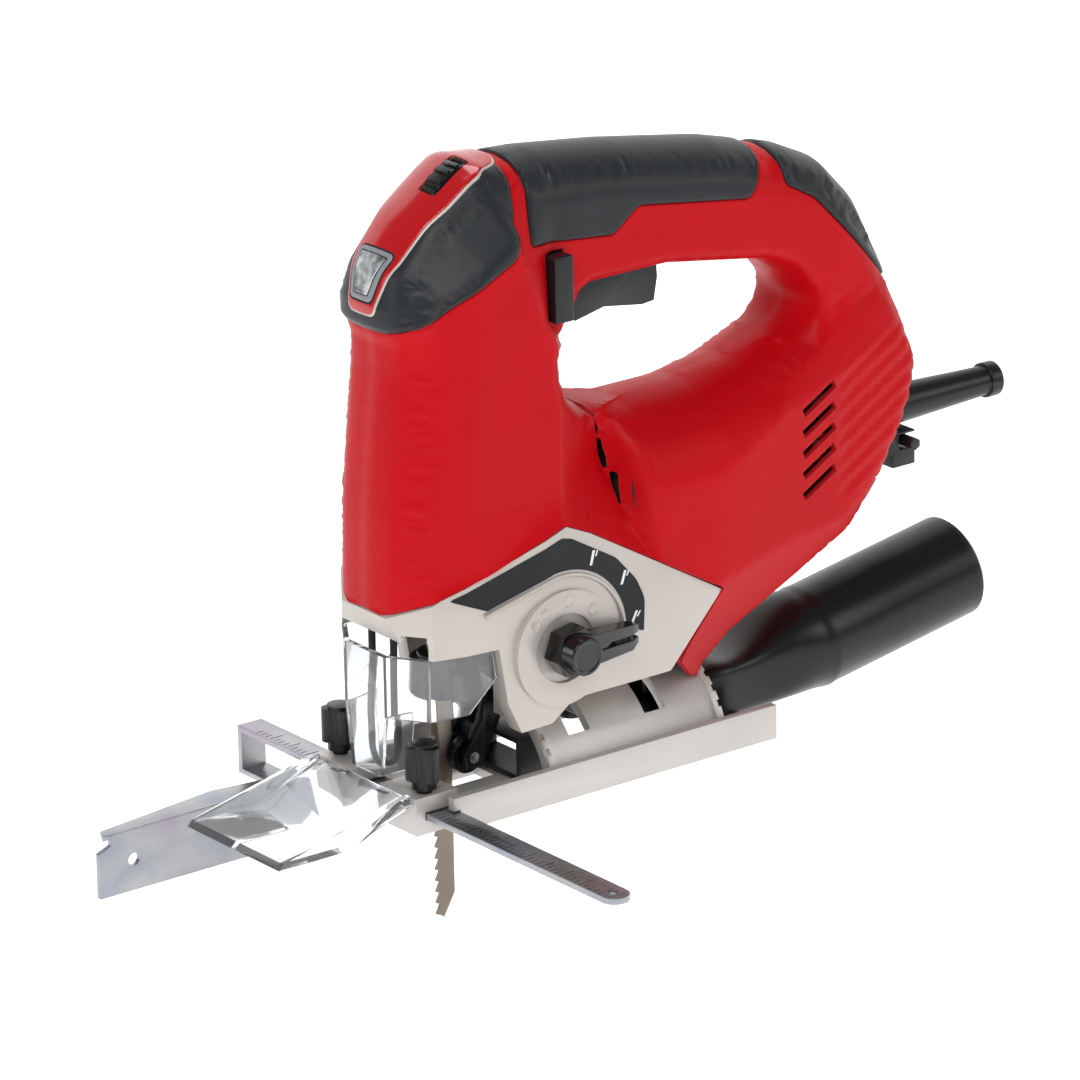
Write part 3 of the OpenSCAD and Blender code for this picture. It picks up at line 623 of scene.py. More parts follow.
HEAD_HALF = 28.5
HANDLE_HALF = 19.0
BARREL_HALF = 33.0
OPEN = (60, 0, 0)
FRONT = (11, 2.0, 1.45)
KEEL = (17, 4, 0.5)
TAIL = (17, 6, 0.6)
ROUND = (19, 16, 0)
NECK = (19, 10, 0.9)

# Side view of the shells: X, Z, corner radius, then the edge's round height, its radius and its slope.
SHELL = [(-31, 72, 0, *OPEN), (-19, 79, 8, *OPEN), (29, 95.5, 5, *OPEN), (39, 91, 4, *OPEN), (96, 58, 1, *OPEN),
         (80, 34, 2, *OPEN), (90, 25, 5, *OPEN), (98, 25, 2, *OPEN), (98.6, 25.4, 0, *KEEL), (110, 34, 12, *KEEL),
         (140, 48, 30, *KEEL), (162, 58, 10, *TAIL), (176, 74, 16, *TAIL), (186, 90, 20, *TAIL),
         (192, 104, 10, *TAIL), (194, 116, 12, *TAIL), (190, 132, 20, 18, 10, 0.2), (182, 152, 20, *ROUND),
         (170, 176, 24, *ROUND), (157, 190, 16, *ROUND), (142, 197, 14, *ROUND), (112, 205, 60, *ROUND),
         (70, 212, 60, *ROUND), (37, 216, 40, *ROUND), (10, 217, 8, 12, 3, 0.6), (4, 213.5, 16, 11.5, 3, 0.8),
         (-12, 202, 30, 11.5, 3, 0.85), (-25, 187, 14, 11, 3, 1.0), (-28, 176, 6, 11, 2.5, 1.3),
         (-28, 170, 4, *FRONT), (-25, 162, 6, *FRONT), (-25, 153, 30, *FRONT), (-26.5, 140, 40, *FRONT),
         (-30, 106, 60, *FRONT), (-31, 72.6, 0, *FRONT)]
# The hand hole, from its low front corner over the top; the barrel's crest closes it below.
HAND = [(53, 126.6, 0, *NECK), (49, 129, 8, *NECK), (43, 135, 8, *NECK), (39, 146, 8, *NECK), (40, 152, 6, *NECK),
        (44, 157, 5, *NECK), (50, 168, 6, *NECK), (85, 168, 8, *NECK), (128, 161, 20, *NECK),
        (138, 156, 10, *NECK), (147, 145, 9, *NECK), (143, 137, 8, *NECK), (138, 134.6, 0, *NECK),
        (120, 128, 40, *OPEN), (100, 124.6, 40, *OPEN), (70, 124.6, 20, *OPEN)]
CASE_WIDTH = [(-31.5, 11.5), (-21.5, 25.5), (-10, 28.5), (20, 32), (70, 32), (97, 30)]
CREST_LINE = [(40, 131), (52, 128), (70, 124.6), (100, 124.6), (120, 128.1), (143, 137), (160, 146)]
FRONT_LEAN = [(72, 0.3), (106, 1.5), (140, 4.5), (153, 6.3)]

CAP_AREA = [(-45, 167.5, 0), (-27, 167.5, 3), (-12, 177, 8), (13, 189, 6), (18.5, 203, 8), (22, 230, 0),
            (-45, 230, 0)]
HANDLE_AREA = [(27, 230, 0), (23.5, 190, 2.5), (60, 186, 4), (71, 194, 4), (118, 187, 5), (127, 198, 5),
               (130.5, 230, 0)]
REAR_AREA = [(137, 230, 0), (134.5, 188.5, 3), (146, 182, 6), (181, 146, 3), (210, 146, 0), (210, 230, 0)]

VENT_LEFT, VENT_LOW, VENT_PITCH, VENT_RISE, VENT_LENGTH, VENT_HEIGHT = 134.5, 79, 7.4, 24.6, 17, 3.4
FAN_SLIT_X, FAN_SLIT_LOW, FAN_SLIT_PITCH, SLIT_STEP = 59.4, 94.0, 11.4, 1.6
# The pendulum dial: its axis, and the radii of the film's arc, the raised rim and the ring of detents.
DIAL_X, DIAL_Z, FILM_RADIUS, RIM_RADIUS, DETENT_RADIUS = 27.0, 53.5, 26.6, 25.0, 16.2
# The dust port: its spigot's tilt in degrees, its length, radii and end, then its neck and its walls.
PORT_TILT, SPIGOT_LENGTH, SPIGOT_RADIUS, SPIGOT_BORE, PORT_END_X, PORT_END_Z = 9.7, 68.0, 18.25, 15.5, 222.0, 29.0
NECK_X, NECK_TOP, NECK_LOW, NECK_HALF, NECK_WALL, PLUG_WALL = 96.5, 24, 3.8, 18, 2.6, 1.9
# How deep the trigger's mouth is cut, and how near the crest the wheel's slot starts.
MOUTH_DEPTH = 2.05
WHEEL_SLOT_LEVEL = 7.6
WHEEL_HALF = 8.3
RIB_DEPTH = 0.55
STRAY = 0.32


def follow(x, table):
    """A value read along a table of (place, value) points."""
    places, values = zip(*table)
    return np.interp(x, places, values)


def slot_loop(x, z, length, height, rise, radius=0.6, step=1.0):
    """A rounded rectangle lying at an angle."""
    turn = math.radians(rise)
    corners = [(0, 0), (length, 0), (length, height), (0, height)]
    return fillet([(x + u * math.cos(turn) - v * math.sin(turn), z + u * math.sin(turn) + v * math.cos(turn), radius)
                   for u, v in corners], step)


class Body:
    """The moulded body as half widths over its side view."""

    def __init__(self):
        self.outline = fillet(SHELL)
        self.hand = fillet(HAND)
        self.seam = np.array([p[:2] for p in SHELL[:6]], float)
        self.edges = [loop[loop[:, 3] > 0] for loop in (self.outline, self.hand)]
        self.vents = [slot_loop(VENT_LEFT, VENT_LOW + VENT_PITCH * i, VENT_LENGTH, VENT_HEIGHT, VENT_RISE)
                      for i in range(5)]
        self.slits = [slot_loop(FAN_SLIT_X - SLIT_STEP * i, FAN_SLIT_LOW + FAN_SLIT_PITCH * i, 10.2, 1.3,
                                90 + 7 * i, 0.5) for i in range(3)]
        button_low, button_high = low("lock_button"), high("lock_button")
        self.window = slot_loop(button_low[0] - 0.7, button_low[2] - 0.7, button_high[0] - button_low[0] + 1.4,
                                button_high[2] - button_low[2] + 1.4, 0, 1.2)
        self.areas = {"head_cap": fillet(CAP_AREA), "handle_grip": fillet(HANDLE_AREA),
                      "rear_grip": fillet(REAR_AREA)}
        self.spots, self.triangles = plate(
            self.outline, [(self.hand, EDGE_ROWS)] + [(v, (0.35,)) for v in self.vents + self.slits],
            [*self.areas.values(), self.window])
        self.rim = to_line(self.spots, self.outline)[0]
        self.heights = self.half_width(self.spots)
        inner = to_line(self.spots, self.hand)[0]
        self.ease(np.minimum(self.rim, inner) > 3.5)
        self.heights[inner < 1e-3] = 0
        self.groove_gap = np.min([to_line(self.spots, area)[0] for area in self.areas.values()], axis=0)

    def ease(self, apart, passes=3):
        """Takes out stray heights: each one that stands off its neighbours' mean goes most of the way to it."""
        corners = ((0, 1), (1, 2), (2, 0), (1, 0), (2, 1), (0, 2))
        pairs = np.concatenate([self.triangles[:, [a, b]] for a, b in corners])
        for _ in range(passes):
            total, count = np.zeros(len(self.spots)), np.zeros(len(self.spots))
            np.add.at(total, pairs[:, 0], self.heights[pairs[:, 1]])
            np.add.at(count, pairs[:, 0], 1)
            off = np.where(count > 0, total / np.maximum(count, 1) - self.heights, 0)
            self.heights += np.where((np.abs(off) > STRAY) & apart, 0.8 * off, 0)

    def edge_height(self, points, line):
        distance, extras = to_line(points, line, closed=False)
        height, radius, slope = extras.T
        return rounded(distance, height, radius) + slope * distance

    def half_width(self, points):
        """Half width of the body at points of its side view."""
        x, z = points.T
        head = HEAD_HALF - 0.55 * np.maximum(x - 30, 0) + 0.12 * np.maximum(105 - z, 0)
        facet = 21.9 + 0.31 * (x + 31 - follow(z, FRONT_LEAN))
        head = smooth_low(head, facet, 1.0)
        crest = follow(x, CREST_LINE)
        drop = np.maximum(z - (crest - BARREL_HALF), 0)
        barrel = np.sqrt(np.maximum(BARREL_HALF ** 2 - drop ** 2, 0))
        barrel = smooth_low(barrel, BARREL_HALF - 0.134 * np.maximum(x - 90, 0), 1.2)
        barrel = smooth_low(barrel, BARREL_HALF - 0.25 * np.maximum(60 - z, 0), 2)
        barrel = smooth_low(barrel, (x - 50) * 2.1, 6)
        handle = HANDLE_HALF - 2 * np.maximum(135 - z, 0)
        handle = handle - 1.6 * np.maximum(137 - x, 0) * np.clip((140 - z) / 4, 0, 1)
        width = smooth_high(smooth_high(head, barrel, 2.5), handle, 4)
        beside = to_line(points, self.seam, closed=False)[0]
        width = smooth_high(width, follow(x, CASE_WIDTH) - 0.15 - 0.75 * beside, 3)
        rise = math.radians(VENT_RISE)
        across = (z - VENT_LOW) * math.cos(rise) - (x - VENT_LEFT) * math.sin(rise)
        ribs = np.clip((x - 150) / 5, 0, 1) * np.clip((z - 74) / 6, 0, 1) * np.clip((150 - z) / 8, 0, 1)
        width = width - RIB_DEPTH * ribs * (1 - np.cos(2 * math.pi * across / (VENT_PITCH * 0.79)))
        for line in self.edges:
            width = smooth_low(width, self.edge_height(points, line), 1.0)
        return np.maximum(width, 0)

    def open_faces(self, near):
        """Triangles left out: the trigger's mouth, the wheel's slot and, on the near side, the button's window."""
        flat = self.spots[self.triangles]
        deepest = np.maximum.reduce([to_line(flat[:, k], self.hand)[0] for k in range(3)])
        trigger_low, trigger_high = low("trigger"), high("trigger")
        centre = flat.mean(1)
        mouth = (deepest < MOUTH_DEPTH) & (centre[:, 1] > 150) & (centre[:, 0] > trigger_low[0] + 2)
        mouth &= centre[:, 0] < trigger_high[0] + 1.5
        wheel_low, wheel_high = low("speed_wheel"), high("speed_wheel")
        shallow = np.maximum.reduce([self.heights[self.triangles[:, k]] for k in range(3)]) < WHEEL_SLOT_LEVEL
        slot = shallow & (centre[:, 0] > wheel_low[0] - 0.5) & (centre[:, 0] < wheel_high[0] + 0.5)
        slot &= centre[:, 1] > 190
        gone = mouth | slot
        if near:
            gone |= within(centre, self.window)
        return gone


@functools.cache
def body_form():
    """The body's form, worked out once."""
    return Body()


def make_shell(node, side):
    """One moulded shell, hollow, with its vents and openings."""
    form = body_form()
    groove = sizes().groove / MM
    raised = -groove * np.clip(1 - form.groove_gap / 0.6, 0, 1)
    keep = ~form.open_faces(side < 0)
    verts, faces = lifted(form.spots, form.triangles[keep], form.heights, side, sizes().shell_wall / MM, raised)
    return new_piece(node + "_shell", verts, faces, moulded_abs_red(), "housing", "shell_red", [node], 40)


def make_skin(node):
    """A soft skin over part of both shells, with rounded borders."""
    form = body_form()
    loop = form.areas[node]
    centre = form.spots[form.triangles].mean(1)
    keep = within(centre, loop) & ~form.open_faces(False)
    gap = to_line(form.spots, loop)[0]
    raised = rounded(gap, sizes().grip_raise / MM, 1.3)
    halves = [lifted(form.spots, form.triangles[keep & ~(within(centre, form.window) & (side < 0))], form.heights,
                     side, 0.6, raised) for side in (-1, 1)]
    verts, faces = joined(*halves)
    return new_piece(node + "_skin", verts, faces, soft_touch_tpe(), "housing", "soft_grip", [node], 45)


class Crest:
    """The top line of the head, from its front upward, as a strip that patches lie on."""

    def __init__(self):
        outline = body_form().outline[::-1]
        start = int(np.argmin(np.hypot(outline[:, 0] + 28, outline[:, 1] - 171)))
        path = np.roll(outline, -start, axis=0)
        self.path = path[:int(np.argmax(path[:, 0] > 33))]
        step = np.linalg.norm(np.diff(self.path[:, :2], axis=0), axis=1)
        self.along = np.concatenate([[0], np.cumsum(step)])
        self.tangent = np.gradient(self.path[:, :2], self.along, axis=0)

    def place(self, s, y):
        """Points on the body and their outward directions, for places along and across the crest."""
        s = np.asarray(s, float)
        base = np.stack([np.interp(s, self.along, self.path[:, k]) for k in range(5)], 1)
        tangent = np.stack([np.interp(s, self.along, self.tangent[:, k]) for k in range(2)], 1)
        tangent /= np.linalg.norm(tangent, axis=1, keepdims=True)
        inward = np.stack([tangent[:, 1], -tangent[:, 0]], 1)
        depth = np.concatenate([np.linspace(0, 1, 30) ** 2 * 4, np.linspace(4.2, 30, 40)])
        sunk, slope = np.empty(len(s)), np.empty(len(s))
        for i in range(len(s)):
            height = rounded(depth, base[i, 2], base[i, 3]) + base[i, 4] * depth
            sunk[i] = np.interp(abs(y[i]), height, depth)
            beyond, before = np.interp([abs(y[i]) + 0.2, max(0, abs(y[i]) - 0.2)], height, depth)
            slope[i] = (beyond - before) / 0.4
        flat = base[:, :2] + inward * sunk[:, None]
        outward = np.stack([-inward[:, 0], np.sign(y) * slope, -inward[:, 1]], 1)
        outward /= np.linalg.norm(outward, axis=1, keepdims=True)
        return np.stack([flat[:, 0], y, flat[:, 1]], 1), outward


def patch(name, outline, lift, thickness, material, slot, nodes=(), holes=(), edge=0.5, spacing=1.3):
    """A thin plate lying on the crest of the head; its outline is in distance along and across."""
    loop = fillet(outline, 1.0)
    spots, triangles = plate(loop, [(h, (0.3,)) for h in holes], rows=(0.1, 0.3, 0.6, 1.2), spacing=spacing)
    base, outward = crest_line().place(spots[:, 0], spots[:, 1])
    gap = to_line(spots, loop)[0]
    top = base + outward * (lift - edge * (1 - rounded(gap, 1, edge)))[:, None]
    under = base + outward * (lift - thickness)
    faces = thick_faces(triangles, len(base))
    return new_piece(name, np.concatenate([top, under]), faces, material, "housing", slot, nodes, 40)


def mirrored(half):
    """A closed outline from the distance along, the half width and the corner radius of one side."""
    return [(s, -w, r) for s, w, r in half] + [(s, w, r) for s, w, r in reversed(half)]


@functools.cache
def crest_line():
    """The crest of the head, worked out once."""
    return Crest()


# ---------------------------------------------------------------- operators

class JIGSAW_OT_shells(bpy.types.Operator):
    """Builds the two moulded shells"""
    bl_idname = "jigsaw.shells"
    bl_label = "Shells"

    def execute(self, context):
        make_shell("housing_left", -1)
        make_shell("housing_right", 1)
        return {"FINISHED"}


class JIGSAW_OT_skins(bpy.types.Operator):
    """Builds the soft cap and grips, the inlay and the badge"""
    bl_idname = "jigsaw.skins"
    bl_label = "Skins and inlay"

    def execute(self, context):
        for node in ("head_cap", "handle_grip", "rear_grip"):
            make_skin(node)
        raise_mm = sizes().grip_raise / MM
        crest = crest_line()
        axle = middle("speed_wheel")
        at = crest.along[int(np.argmin(np.hypot(crest.path[:, 0] - axle[0], crest.path[:, 1] - axle[2])))]
        ends, sides = (at - WHEEL_HALF, at + WHEEL_HALF), (axle[1] - 4.2, axle[1] + 4.2)
        slot = fillet([(ends[0], sides[0], 1), (ends[1], sides[0], 1), (ends[1], sides[1], 1),
                       (ends[0], sides[1], 1)], 1.0)
        half = [(2.5, 6, 3.5), (22, 10.8, 14), (46, 13, 16), (62, 13, 8), (73.5, 8, 7)]
        outline = mirrored(half)
        patch("top_inlay_strip", outline, raise_mm + 0.7, 1.2, gloss_abs_red(), "inlay_red", ["top_inlay"], [slot])
        border = [(s + (-0.6 if s < 10 else 0.6 if s > 68 else 0), w + 0.6, r) for s, w, r in half]
        patch("top_inlay_border", mirrored(border), raise_mm + 0.35, 0.9, satin_silver_lacquer(), "silver_cast",
              holes=[slot])
        # The recess and gap pieces are black sheets of painted shade, under the frame and between the frame and the
        # plate.
        badge = [("badge_recess_shade", 0, painted_shade_black(), 0.78), ("badge_frame", 0.9, grey_lacquer(), 1.15),
                 ("badge_gap_shade", 2.3, painted_shade_black(), 1.2), ("badge_plate", 2.8, mottled_plate(), 1.3)]
        for name, inset, finish, lift in badge:
            ring = mirrored([(5.6 + inset, 6.1 - inset * 0.95, max(0.8, 3 - inset)),
                             (24.4 - inset, 9.6 - inset * 1.05, max(0.8, 3 - inset))])
            patch(name, ring, raise_mm + lift, 0.7, finish, "silver_cast", ["badge"] if name == "badge_plate" else ())
        return {"FINISHED"}


def port_section(x, z, tilt, half, top, bottom, power, count=48, shrink=0.0):
    """A rounded section across the port: a superellipse between a bottom and a top."""
    points = []
    rise = (top - bottom) / 2 - shrink
    for k in range(count):
        a = 2 * math.pi * k / count
        u = math.copysign(abs(math.cos(a)) ** (2 / power), math.cos(a)) * (half - shrink)
        v = math.copysign(abs(math.sin(a)) ** (2 / power), math.sin(a)) * rise
        points.append((x - v * math.sin(tilt), u, z + v * math.cos(tilt)))
    return points


class JIGSAW_OT_port(bpy.types.Operator):
    """Builds the dust port with its neck and hose spigot"""
    bl_idname = "jigsaw.port"
    bl_label = "Dust port"

    def execute(self, context):
        tilt, length = math.radians(PORT_TILT), SPIGOT_LENGTH
        start_x, start_z = PORT_END_X - length * math.cos(tilt), PORT_END_Z - length * math.sin(tilt)
        skins = []
        for inner in (False, True):
            sections = []
            for x in (86.3, 95.5):
                sections.append(port_section(x, 12.5, 0, 16, 20, 5, 8, shrink=PLUG_WALL if inner else 0))
            for t in np.linspace(0, 1, 22):
                ease = t * t * (3 - 2 * t)
                waist = math.sin(math.pi * t) ** 2
                x = NECK_X + (start_x - NECK_X) * t
                slope = 2.4 * max(0.0, 1 - (x - NECK_X) / 10)
                top = NECK_TOP + (start_z + SPIGOT_RADIUS - NECK_TOP) * ease ** 1.6 - 2.5 * waist - slope
                bottom = NECK_LOW + (start_z - SPIGOT_RADIUS - NECK_LOW) * t ** 1.4
                half = NECK_HALF + (SPIGOT_RADIUS - NECK_HALF) * ease - 2.2 * waist - slope
                sections.append(port_section(x, (top + bottom) / 2, tilt * ease, half, top, bottom,
                                             7 - 5 * ease, shrink=NECK_WALL if inner else 0))
            radius = SPIGOT_BORE if inner else SPIGOT_RADIUS
            for along, extra in ((1.5, 0.3), (3, 0), (30, 0), (length - 3.2, 0), (length - 1, 0), (length, -0.9)):
                x, z = start_x + along * math.cos(tilt), start_z + along * math.sin(tilt)
                size = radius + (-extra if inner else extra)
                sections.append(port_section(x, z, tilt, size, z + size, z - size, 2))
            skins.append(sections)
        verts, faces = loft(skins[0] + skins[1][::-1], caps=False)
        ring, total = len(skins[0][0]), len(skins[0]) + len(skins[1])
        last = (total - 1) * ring
        faces += [(last + k, last + (k + 1) % ring, (k + 1) % ring, k) for k in range(ring)]
        new_piece("dust_port_body", verts, faces, black_nylon(), "port", "black_plastic", ["dust_port"], 32)
        softened("dust_duct", 0.5, black_nylon())
        return {"FINISHED"}


class JIGSAW_OT_case(bpy.types.Operator):
    """Finishes the gear case with its label, guards and selector"""
    bl_idname = "jigsaw.case"
    bl_label = "Gear case"

    def execute(self, context):
        edge = sizes().edge / MM
        softened("gear_case", edge, satin_silver_lacquer())
        side = low("scale_label")[1]
        self.film()
        softened("wire_guard", 0.2, black_oxide_steel())
        softened("clear_guard", 0.35, clear_polycarbonate(), 3)
        self.knob()
        self.marks(side)
        self.dial(side)
        return {"FINISHED"}

    def film(self):
        """The printed film, which follows the case's side from its front facet to the dial's arc."""
        outer = [(-16, 78, 0.5), (27, 91.5, 3), (31, 90.5, 4), (49, 80, 10), (57.5, 70.5, 12), (61, 63, 10),
                 (60.4, 51.5, 0.5)]
        arc = [(DIAL_X + FILM_RADIUS * math.cos(a), DIAL_Z + FILM_RADIUS * math.sin(a), 0)
               for a in np.radians(np.arange(2, 100, 4))]
        loop = fillet(outer + arc + [(-2.5, 72.3, 0.5)], 1.5)
        spots, triangles = plate(loop, rows=(0.2, 1.0), spacing=2.5)
        heights = np.minimum(follow(spots[:, 0], CASE_WIDTH), 32) + 0.3
        new_piece("scale_label_film", *lifted(spots, triangles, heights, -1, 0.35), printed_film(), "housing",
                  "label_grey", ["scale_label"])

    def marks(self, side):
        """White double strokes on the film, one for each setting of the dial."""
        strokes = []
        for top, foot in (((39.8, 84.6), (38.5, 79.6)), ((52.8, 74.7), (51.2, 70.0)), ((57.4, 59.4), (55.0, 54.6))):
            top, foot = np.array(top), np.array(foot)
            short = (top + (1.5, -0.3), foot * 0.45 + top * 0.55 + (1.3, 0), 0.55)
            for start, end, width in ((top, foot, 1.0), short):
                across = np.array([width / 2, 0])
                strokes.append(slab([start - across, start + across, end + across, end - across], side - 0.12,
                                    side + 0.1))
        new_piece("dial_marks", *joined(*strokes), white_ink(), "housing", "label_grey")

    def dial(self, side):
        """The raised rim round the dial, and the four detent dimples."""
        level = side + 0.15
        rim = [(DIAL_X + RIM_RADIUS * math.cos(a), level, DIAL_Z + RIM_RADIUS * math.sin(a))
               for a in np.radians(np.arange(0, 106, 5))]
        rim.append((-3.5, level + 2.2, 70.6))
        new_piece("dial_rim", *tube(rim, 0.75, 10), satin_silver_lacquer(), "housing", "silver_cast", smooth_angle=60)
        face = low("gear_case")[1]
        pits = []
        for angle in (140, 122, 84, 44):
            turn = math.radians(angle)
            centre = (DIAL_X + DETENT_RADIUS * math.cos(turn), DIAL_Z + DETENT_RADIUS * math.sin(turn))
            rings = [(2.3, 0.0), (2.1, -0.16), (1.8, -0.2), (1.5, -0.12), (1.25, -0.03), (0.8, -0.02), (0.02, -0.02)]
            pits.append(loft([[(centre[0] + r * math.cos(a), face + d, centre[1] + r * math.sin(a))
                               for a in np.radians(np.arange(0, 360, 18))] for r, d in rings], caps=False))
        new_piece("detent_dimples", *joined(*pits), satin_silver_lacquer(), "housing", "silver_cast", smooth_angle=60)

    def knob(self):
        """The dial's knob: a six-sided base, a round cap and a forked pointer."""
        node_low, node_high = low("selector_knob"), high("selector_knob")
        x, z, front = DIAL_X, DIAL_Z, node_low[1]
        base = [(x + 9 * math.cos(a), z + 9 * math.sin(a)) for a in np.radians(np.arange(10, 370, 60))]
        foot = slab(base, front + 5, front + 12.3)
        shoulder = loft([[(x + r * math.cos(a), y, z + r * math.sin(a)) for a in np.radians(np.arange(0, 360, 10))]
                         for r, y in ((7.4, front + 5.4), (6.9, front + 4.4), (6.5, front + 0.5), (6.1, front),
                                      (5.2, front), (4.9, front + 0.25))])
        tip = node_high[0]
        prongs = [loft([[(at, front + top, z + v0), (at, front + top, z + v1), (at, front + 10.4, z + v1),
                         (at, front + 10.4, z + v0)] for at, top, v0, v1 in cuts])
                  for cuts in (((x + 3, 3.6, -5.6, -0.9), (tip - 4, 5.2, -4.4, -0.9), (tip, 7.4, -3.2, -0.9)),
                               ((x + 3, 3.6, 0.9, 5.6), (tip - 4, 5.2, 0.9, 4.6), (tip, 7.4, 0.9, 3.4)),
                               ((x + 3, 4.2, -1.2, 1.2), (x + 12, 5.0, -1.2, 1.2), (x + 17, 7.0, -1.2, 1.2)))]
        piece = new_piece("selector_knob_body", *joined(foot, shoulder, *prongs), polished_black_nylon(), "selector",
                          "black_plastic", ["selector_knob"], 35, weld=False)
        bevel = piece.modifiers.new("edges", "BEVEL")
        bevel.width, bevel.segments, bevel.angle_limit = 0.5 * MM, 3, math.radians(35)


class JIGSAW_OT_controls(bpy.types.Operator):
    """Finishes the trigger, its lock, the speed wheel, the cord sleeve, the key and its clip"""
    bl_idname = "jigsaw.controls"
    bl_label = "Controls"

    def execute(self, context):
        softened("trigger", 1.4, soft_touch_tpe(), 3)
        softened("lock_button", 0.9, black_nylon(), 3)
        softened("speed_wheel", 0.3, black_nylon())
        softened("strain_relief", 0.6, black_nylon(), 3)
        softened("key_clip", 0.5, black_nylon())
        softened("hex_key", 0.25, black_oxide_steel())
        return {"FINISHED"}


class JIGSAW_OT_shoe(bpy.types.Operator):
    """Finishes the shoe, its clamp and the knobs of the fence"""
    bl_idname = "jigsaw.shoe"
    bl_label = "Shoe"

    def execute(self, context):
        softened("base_plate", 0.55, die_cast_aluminium())
        softened("clamp_plate", 0.3, bright_zinc_plate())
        softened("base_screw", 0.3, black_oxide_steel())
        for node in ("knob_screw_near", "knob_screw_far"):
            softened(node, 0.5, black_nylon())
        return {"FINISHED"}


class JIGSAW_OT_fence(bpy.types.Operator):
    """Finishes the parallel fence and the clear sight plate"""
    bl_idname = "jigsaw.fence"
    bl_label = "Fence"

    def execute(self, context):
        softened("fence", 0.4, bright_zinc_plate())
        softened("cut_line_guide", 0.4, clear_polycarbonate(), 3)
        self.ruler()
        return {"FINISHED"}

    def ruler(self):
        """Engraved lines along the bar's upper face, a long one every centimetre: flat black strokes of painted shade
        standing for the grooves.
        """
        top = max(v.co.z for v in frame["nodes"]["fence"].data.vertices) / MM
        bar = [v.co / MM for v in frame["nodes"]["fence"].data.vertices if v.co.z / MM > top - 0.05]
        left, right = min(v.x for v in bar), max(v.x for v in bar)
        start, end = min(v.y for v in bar) + 8, max(v.y for v in bar) - 8
        lines = []
        for k, y in enumerate(np.arange(start, end, 2.5)):
            reach = (right - left) * (0.62 if k % 4 == 0 else 0.34)
            lines.append(slab([(left + 0.8, y - 0.16), (left + reach, y - 0.16), (left + reach, y + 0.16),
                               (left + 0.8, y + 0.16)], top - 0.05, top + 0.03, axis=2))
        # The strokes are painted shade where the engraved grooves would be; the bar itself is not cut.
        new_piece("fence_ruler", *joined(*lines), painted_shade_black(), "fence", "zinc_steel", weld=False)


class JIGSAW_OT_blade_drive(bpy.types.Operator):
    """Finishes the blade, its clamp, the roller and its lever"""
    bl_idname = "jigsaw.blade_drive"
    bl_label = "Blade and roller"

    def execute(self, context):
        softened("blade", 0.1, bimetal_blade_steel(), 1)
        softened("blade_clamp", 0.5, black_oxide_steel())
        softened("clamp_collar", 0.6, polished_black_nylon())
        softened("pendulum_lever", 0.6, black_oxide_steel())
        softened("guide_roller", 0.35, black_oxide_steel())
        softened("roller_pin", 0.3, ground_steel())
        softened("plunger", 0.3, ground_steel())
        return {"FINISHED"}


class JIGSAW_OT_works(bpy.types.Operator):
    """Gives the parts inside their finishes"""
    bl_idname = "jigsaw.works"
    bl_label = "Works"

    def execute(self, context):
        finishes = {
            ground_steel: ("armature_shaft", "gear_axle", "guide_pin", "lever_pin", "crank_gear", "crank_pin",
                           "swivel_guide", "front_bearing", "rear_bearing", "brush_springs", "housing_screws"),
            lamination_steel: ("stator", "armature_core"),
            enamelled_copper: ("stator_windings", "commutator"),
            drawn_brass: ("guide_bushes", "brush_holders"),
            pressed_carbon: ("carbon_brushes",),
            lacquered_board: ("speed_board",),
            black_nylon: ("switch_unit", "cord_clamp", "fan"),
        }
        for finish, nodes in finishes.items():
            for node in nodes:
                dressed(node, finish())
        return {"FINISHED"}


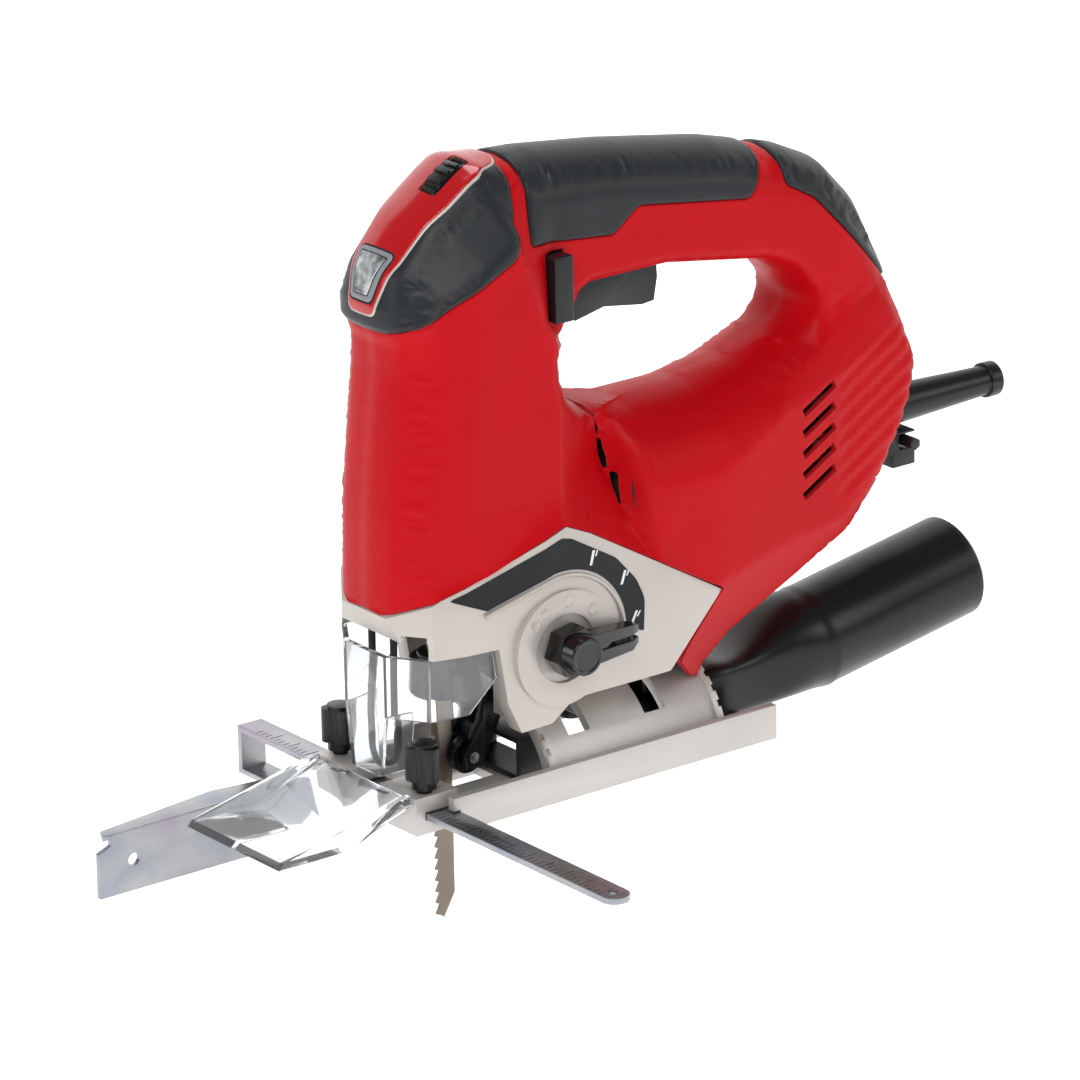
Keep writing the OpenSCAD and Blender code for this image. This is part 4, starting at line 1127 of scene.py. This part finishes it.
class JIGSAW_OT_stage(bpy.types.Operator):
    """Lays the floor, hangs the lamps and sets the camera"""
    bl_idname = "jigsaw.stage"
    bl_label = "Stage"

    def execute(self, context):
        scene = context.scene
        scene.view_settings.view_transform = "Standard"
        floor_z = cad_bounds[0].z - FLOOR_GAP
        across = Vector((math.cos(CAMERA_TURN), math.sin(CAMERA_TURN), 0))
        away = Vector((-math.sin(CAMERA_TURN), math.cos(CAMERA_TURN), 0))
        verts, faces = [], []
        for u, z in SWEEP:
            for w in (-SWEEP_HALF, SWEEP_HALF):
                verts.append(tuple(away * u + across * w + Vector((0, 0, floor_z + z))))
        for i in range(len(SWEEP) - 1):
            faces.append((2 * i, 2 * i + 1, 2 * i + 3, 2 * i + 2))
        mesh = bpy.data.meshes.new("floor")
        mesh.from_pydata(verts, [], faces)
        mesh.shade_smooth()
        mesh.materials.append(surface("pale_studio_sweep", "#F4F4F5", 0.85, 20, 0.01, 0.005,
                                      Emission_Color=grey(1.0), Emission_Strength=0.7))
        floor = bpy.data.objects.new("floor", mesh)
        scene.collection.objects.link(floor)

        world = bpy.data.worlds.new("studio")
        scene.world = world
        world.use_nodes = True
        background = next(n for n in world.node_tree.nodes if n.type == "BACKGROUND")
        background.inputs["Color"].default_value = (1, 1, 1, 1)
        background.inputs["Strength"].default_value = WORLD_LIGHT

        target = Vector(AIM) * MM
        for name, place, size, power in LAMPS:
            light = bpy.data.lights.new(name, "AREA")
            light.shape = "RECTANGLE"
            light.size = light.size_y = size
            light.energy = power
            lamp = bpy.data.objects.new(name, light)
            scene.collection.objects.link(lamp)
            lamp.location = target + Vector(place)
            lamp.rotation_euler = (-Vector(place)).to_track_quat("-Z", "Y").to_euler()

        camera_data = bpy.data.cameras.new("view")
        camera_data.lens = sizes().lens
        camera_data.sensor_width = 36
        camera_data.clip_end = 50
        camera = bpy.data.objects.new("view", camera_data)
        scene.collection.objects.link(camera)
        turn, climb, roll = CAMERA_TURN, CAMERA_CLIMB, CAMERA_ROLL
        back = Vector((math.sin(turn) * math.cos(climb), -math.cos(turn) * math.cos(climb), math.sin(climb)))
        right = (-back).cross(Vector((0, 0, 1))).normalized()
        up = right.cross(-back)
        rolled_right = right * math.cos(roll) + up * math.sin(roll)
        rolled_up = up * math.cos(roll) - right * math.sin(roll)
        turned = Matrix((rolled_right, rolled_up, back)).transposed()
        camera.matrix_world = Matrix.Translation(target + back * CAMERA_DISTANCE) @ turned.to_4x4()
        scene.camera = camera
        return {"FINISHED"}


OPERATORS = (JIGSAW_OT_stage, JIGSAW_OT_works, JIGSAW_OT_shells, JIGSAW_OT_skins, JIGSAW_OT_case, JIGSAW_OT_port,
             JIGSAW_OT_controls, JIGSAW_OT_shoe, JIGSAW_OT_fence, JIGSAW_OT_blade_drive)


class JIGSAW_PT_panel(bpy.types.Panel):
    """Lists the steps that build the jigsaw"""
    bl_idname = "JIGSAW_PT_panel"
    bl_label = "Jigsaw"
    bl_space_type = "VIEW_3D"
    bl_region_type = "UI"
    bl_category = "Jigsaw"

    def draw(self, context):
        for group in (colours(), sizes()):
            for name in group.__annotations__:
                self.layout.prop(group, name)
        for operator in OPERATORS:
            self.layout.operator(operator.bl_idname)


CLASSES = (JigsawColours, JigsawSizes, *OPERATORS, JIGSAW_PT_panel)


def register():
    for each in CLASSES:
        bpy.utils.register_class(each)
    bpy.types.Scene.jigsaw_colours = PointerProperty(type=JigsawColours)
    bpy.types.Scene.jigsaw_sizes = PointerProperty(type=JigsawSizes)


def unregister():
    del bpy.types.Scene.jigsaw_sizes
    del bpy.types.Scene.jigsaw_colours
    for each in reversed(CLASSES):
        bpy.utils.unregister_class(each)


def main():
    register()
    bpy.ops.jigsaw.stage()
    bpy.ops.jigsaw.works()
    bpy.ops.jigsaw.shells()
    bpy.ops.jigsaw.skins()
    bpy.ops.jigsaw.case()
    bpy.ops.jigsaw.port()
    bpy.ops.jigsaw.controls()
    bpy.ops.jigsaw.shoe()
    bpy.ops.jigsaw.fence()
    bpy.ops.jigsaw.blade_drive()


if __name__ == "__main__":
    main()
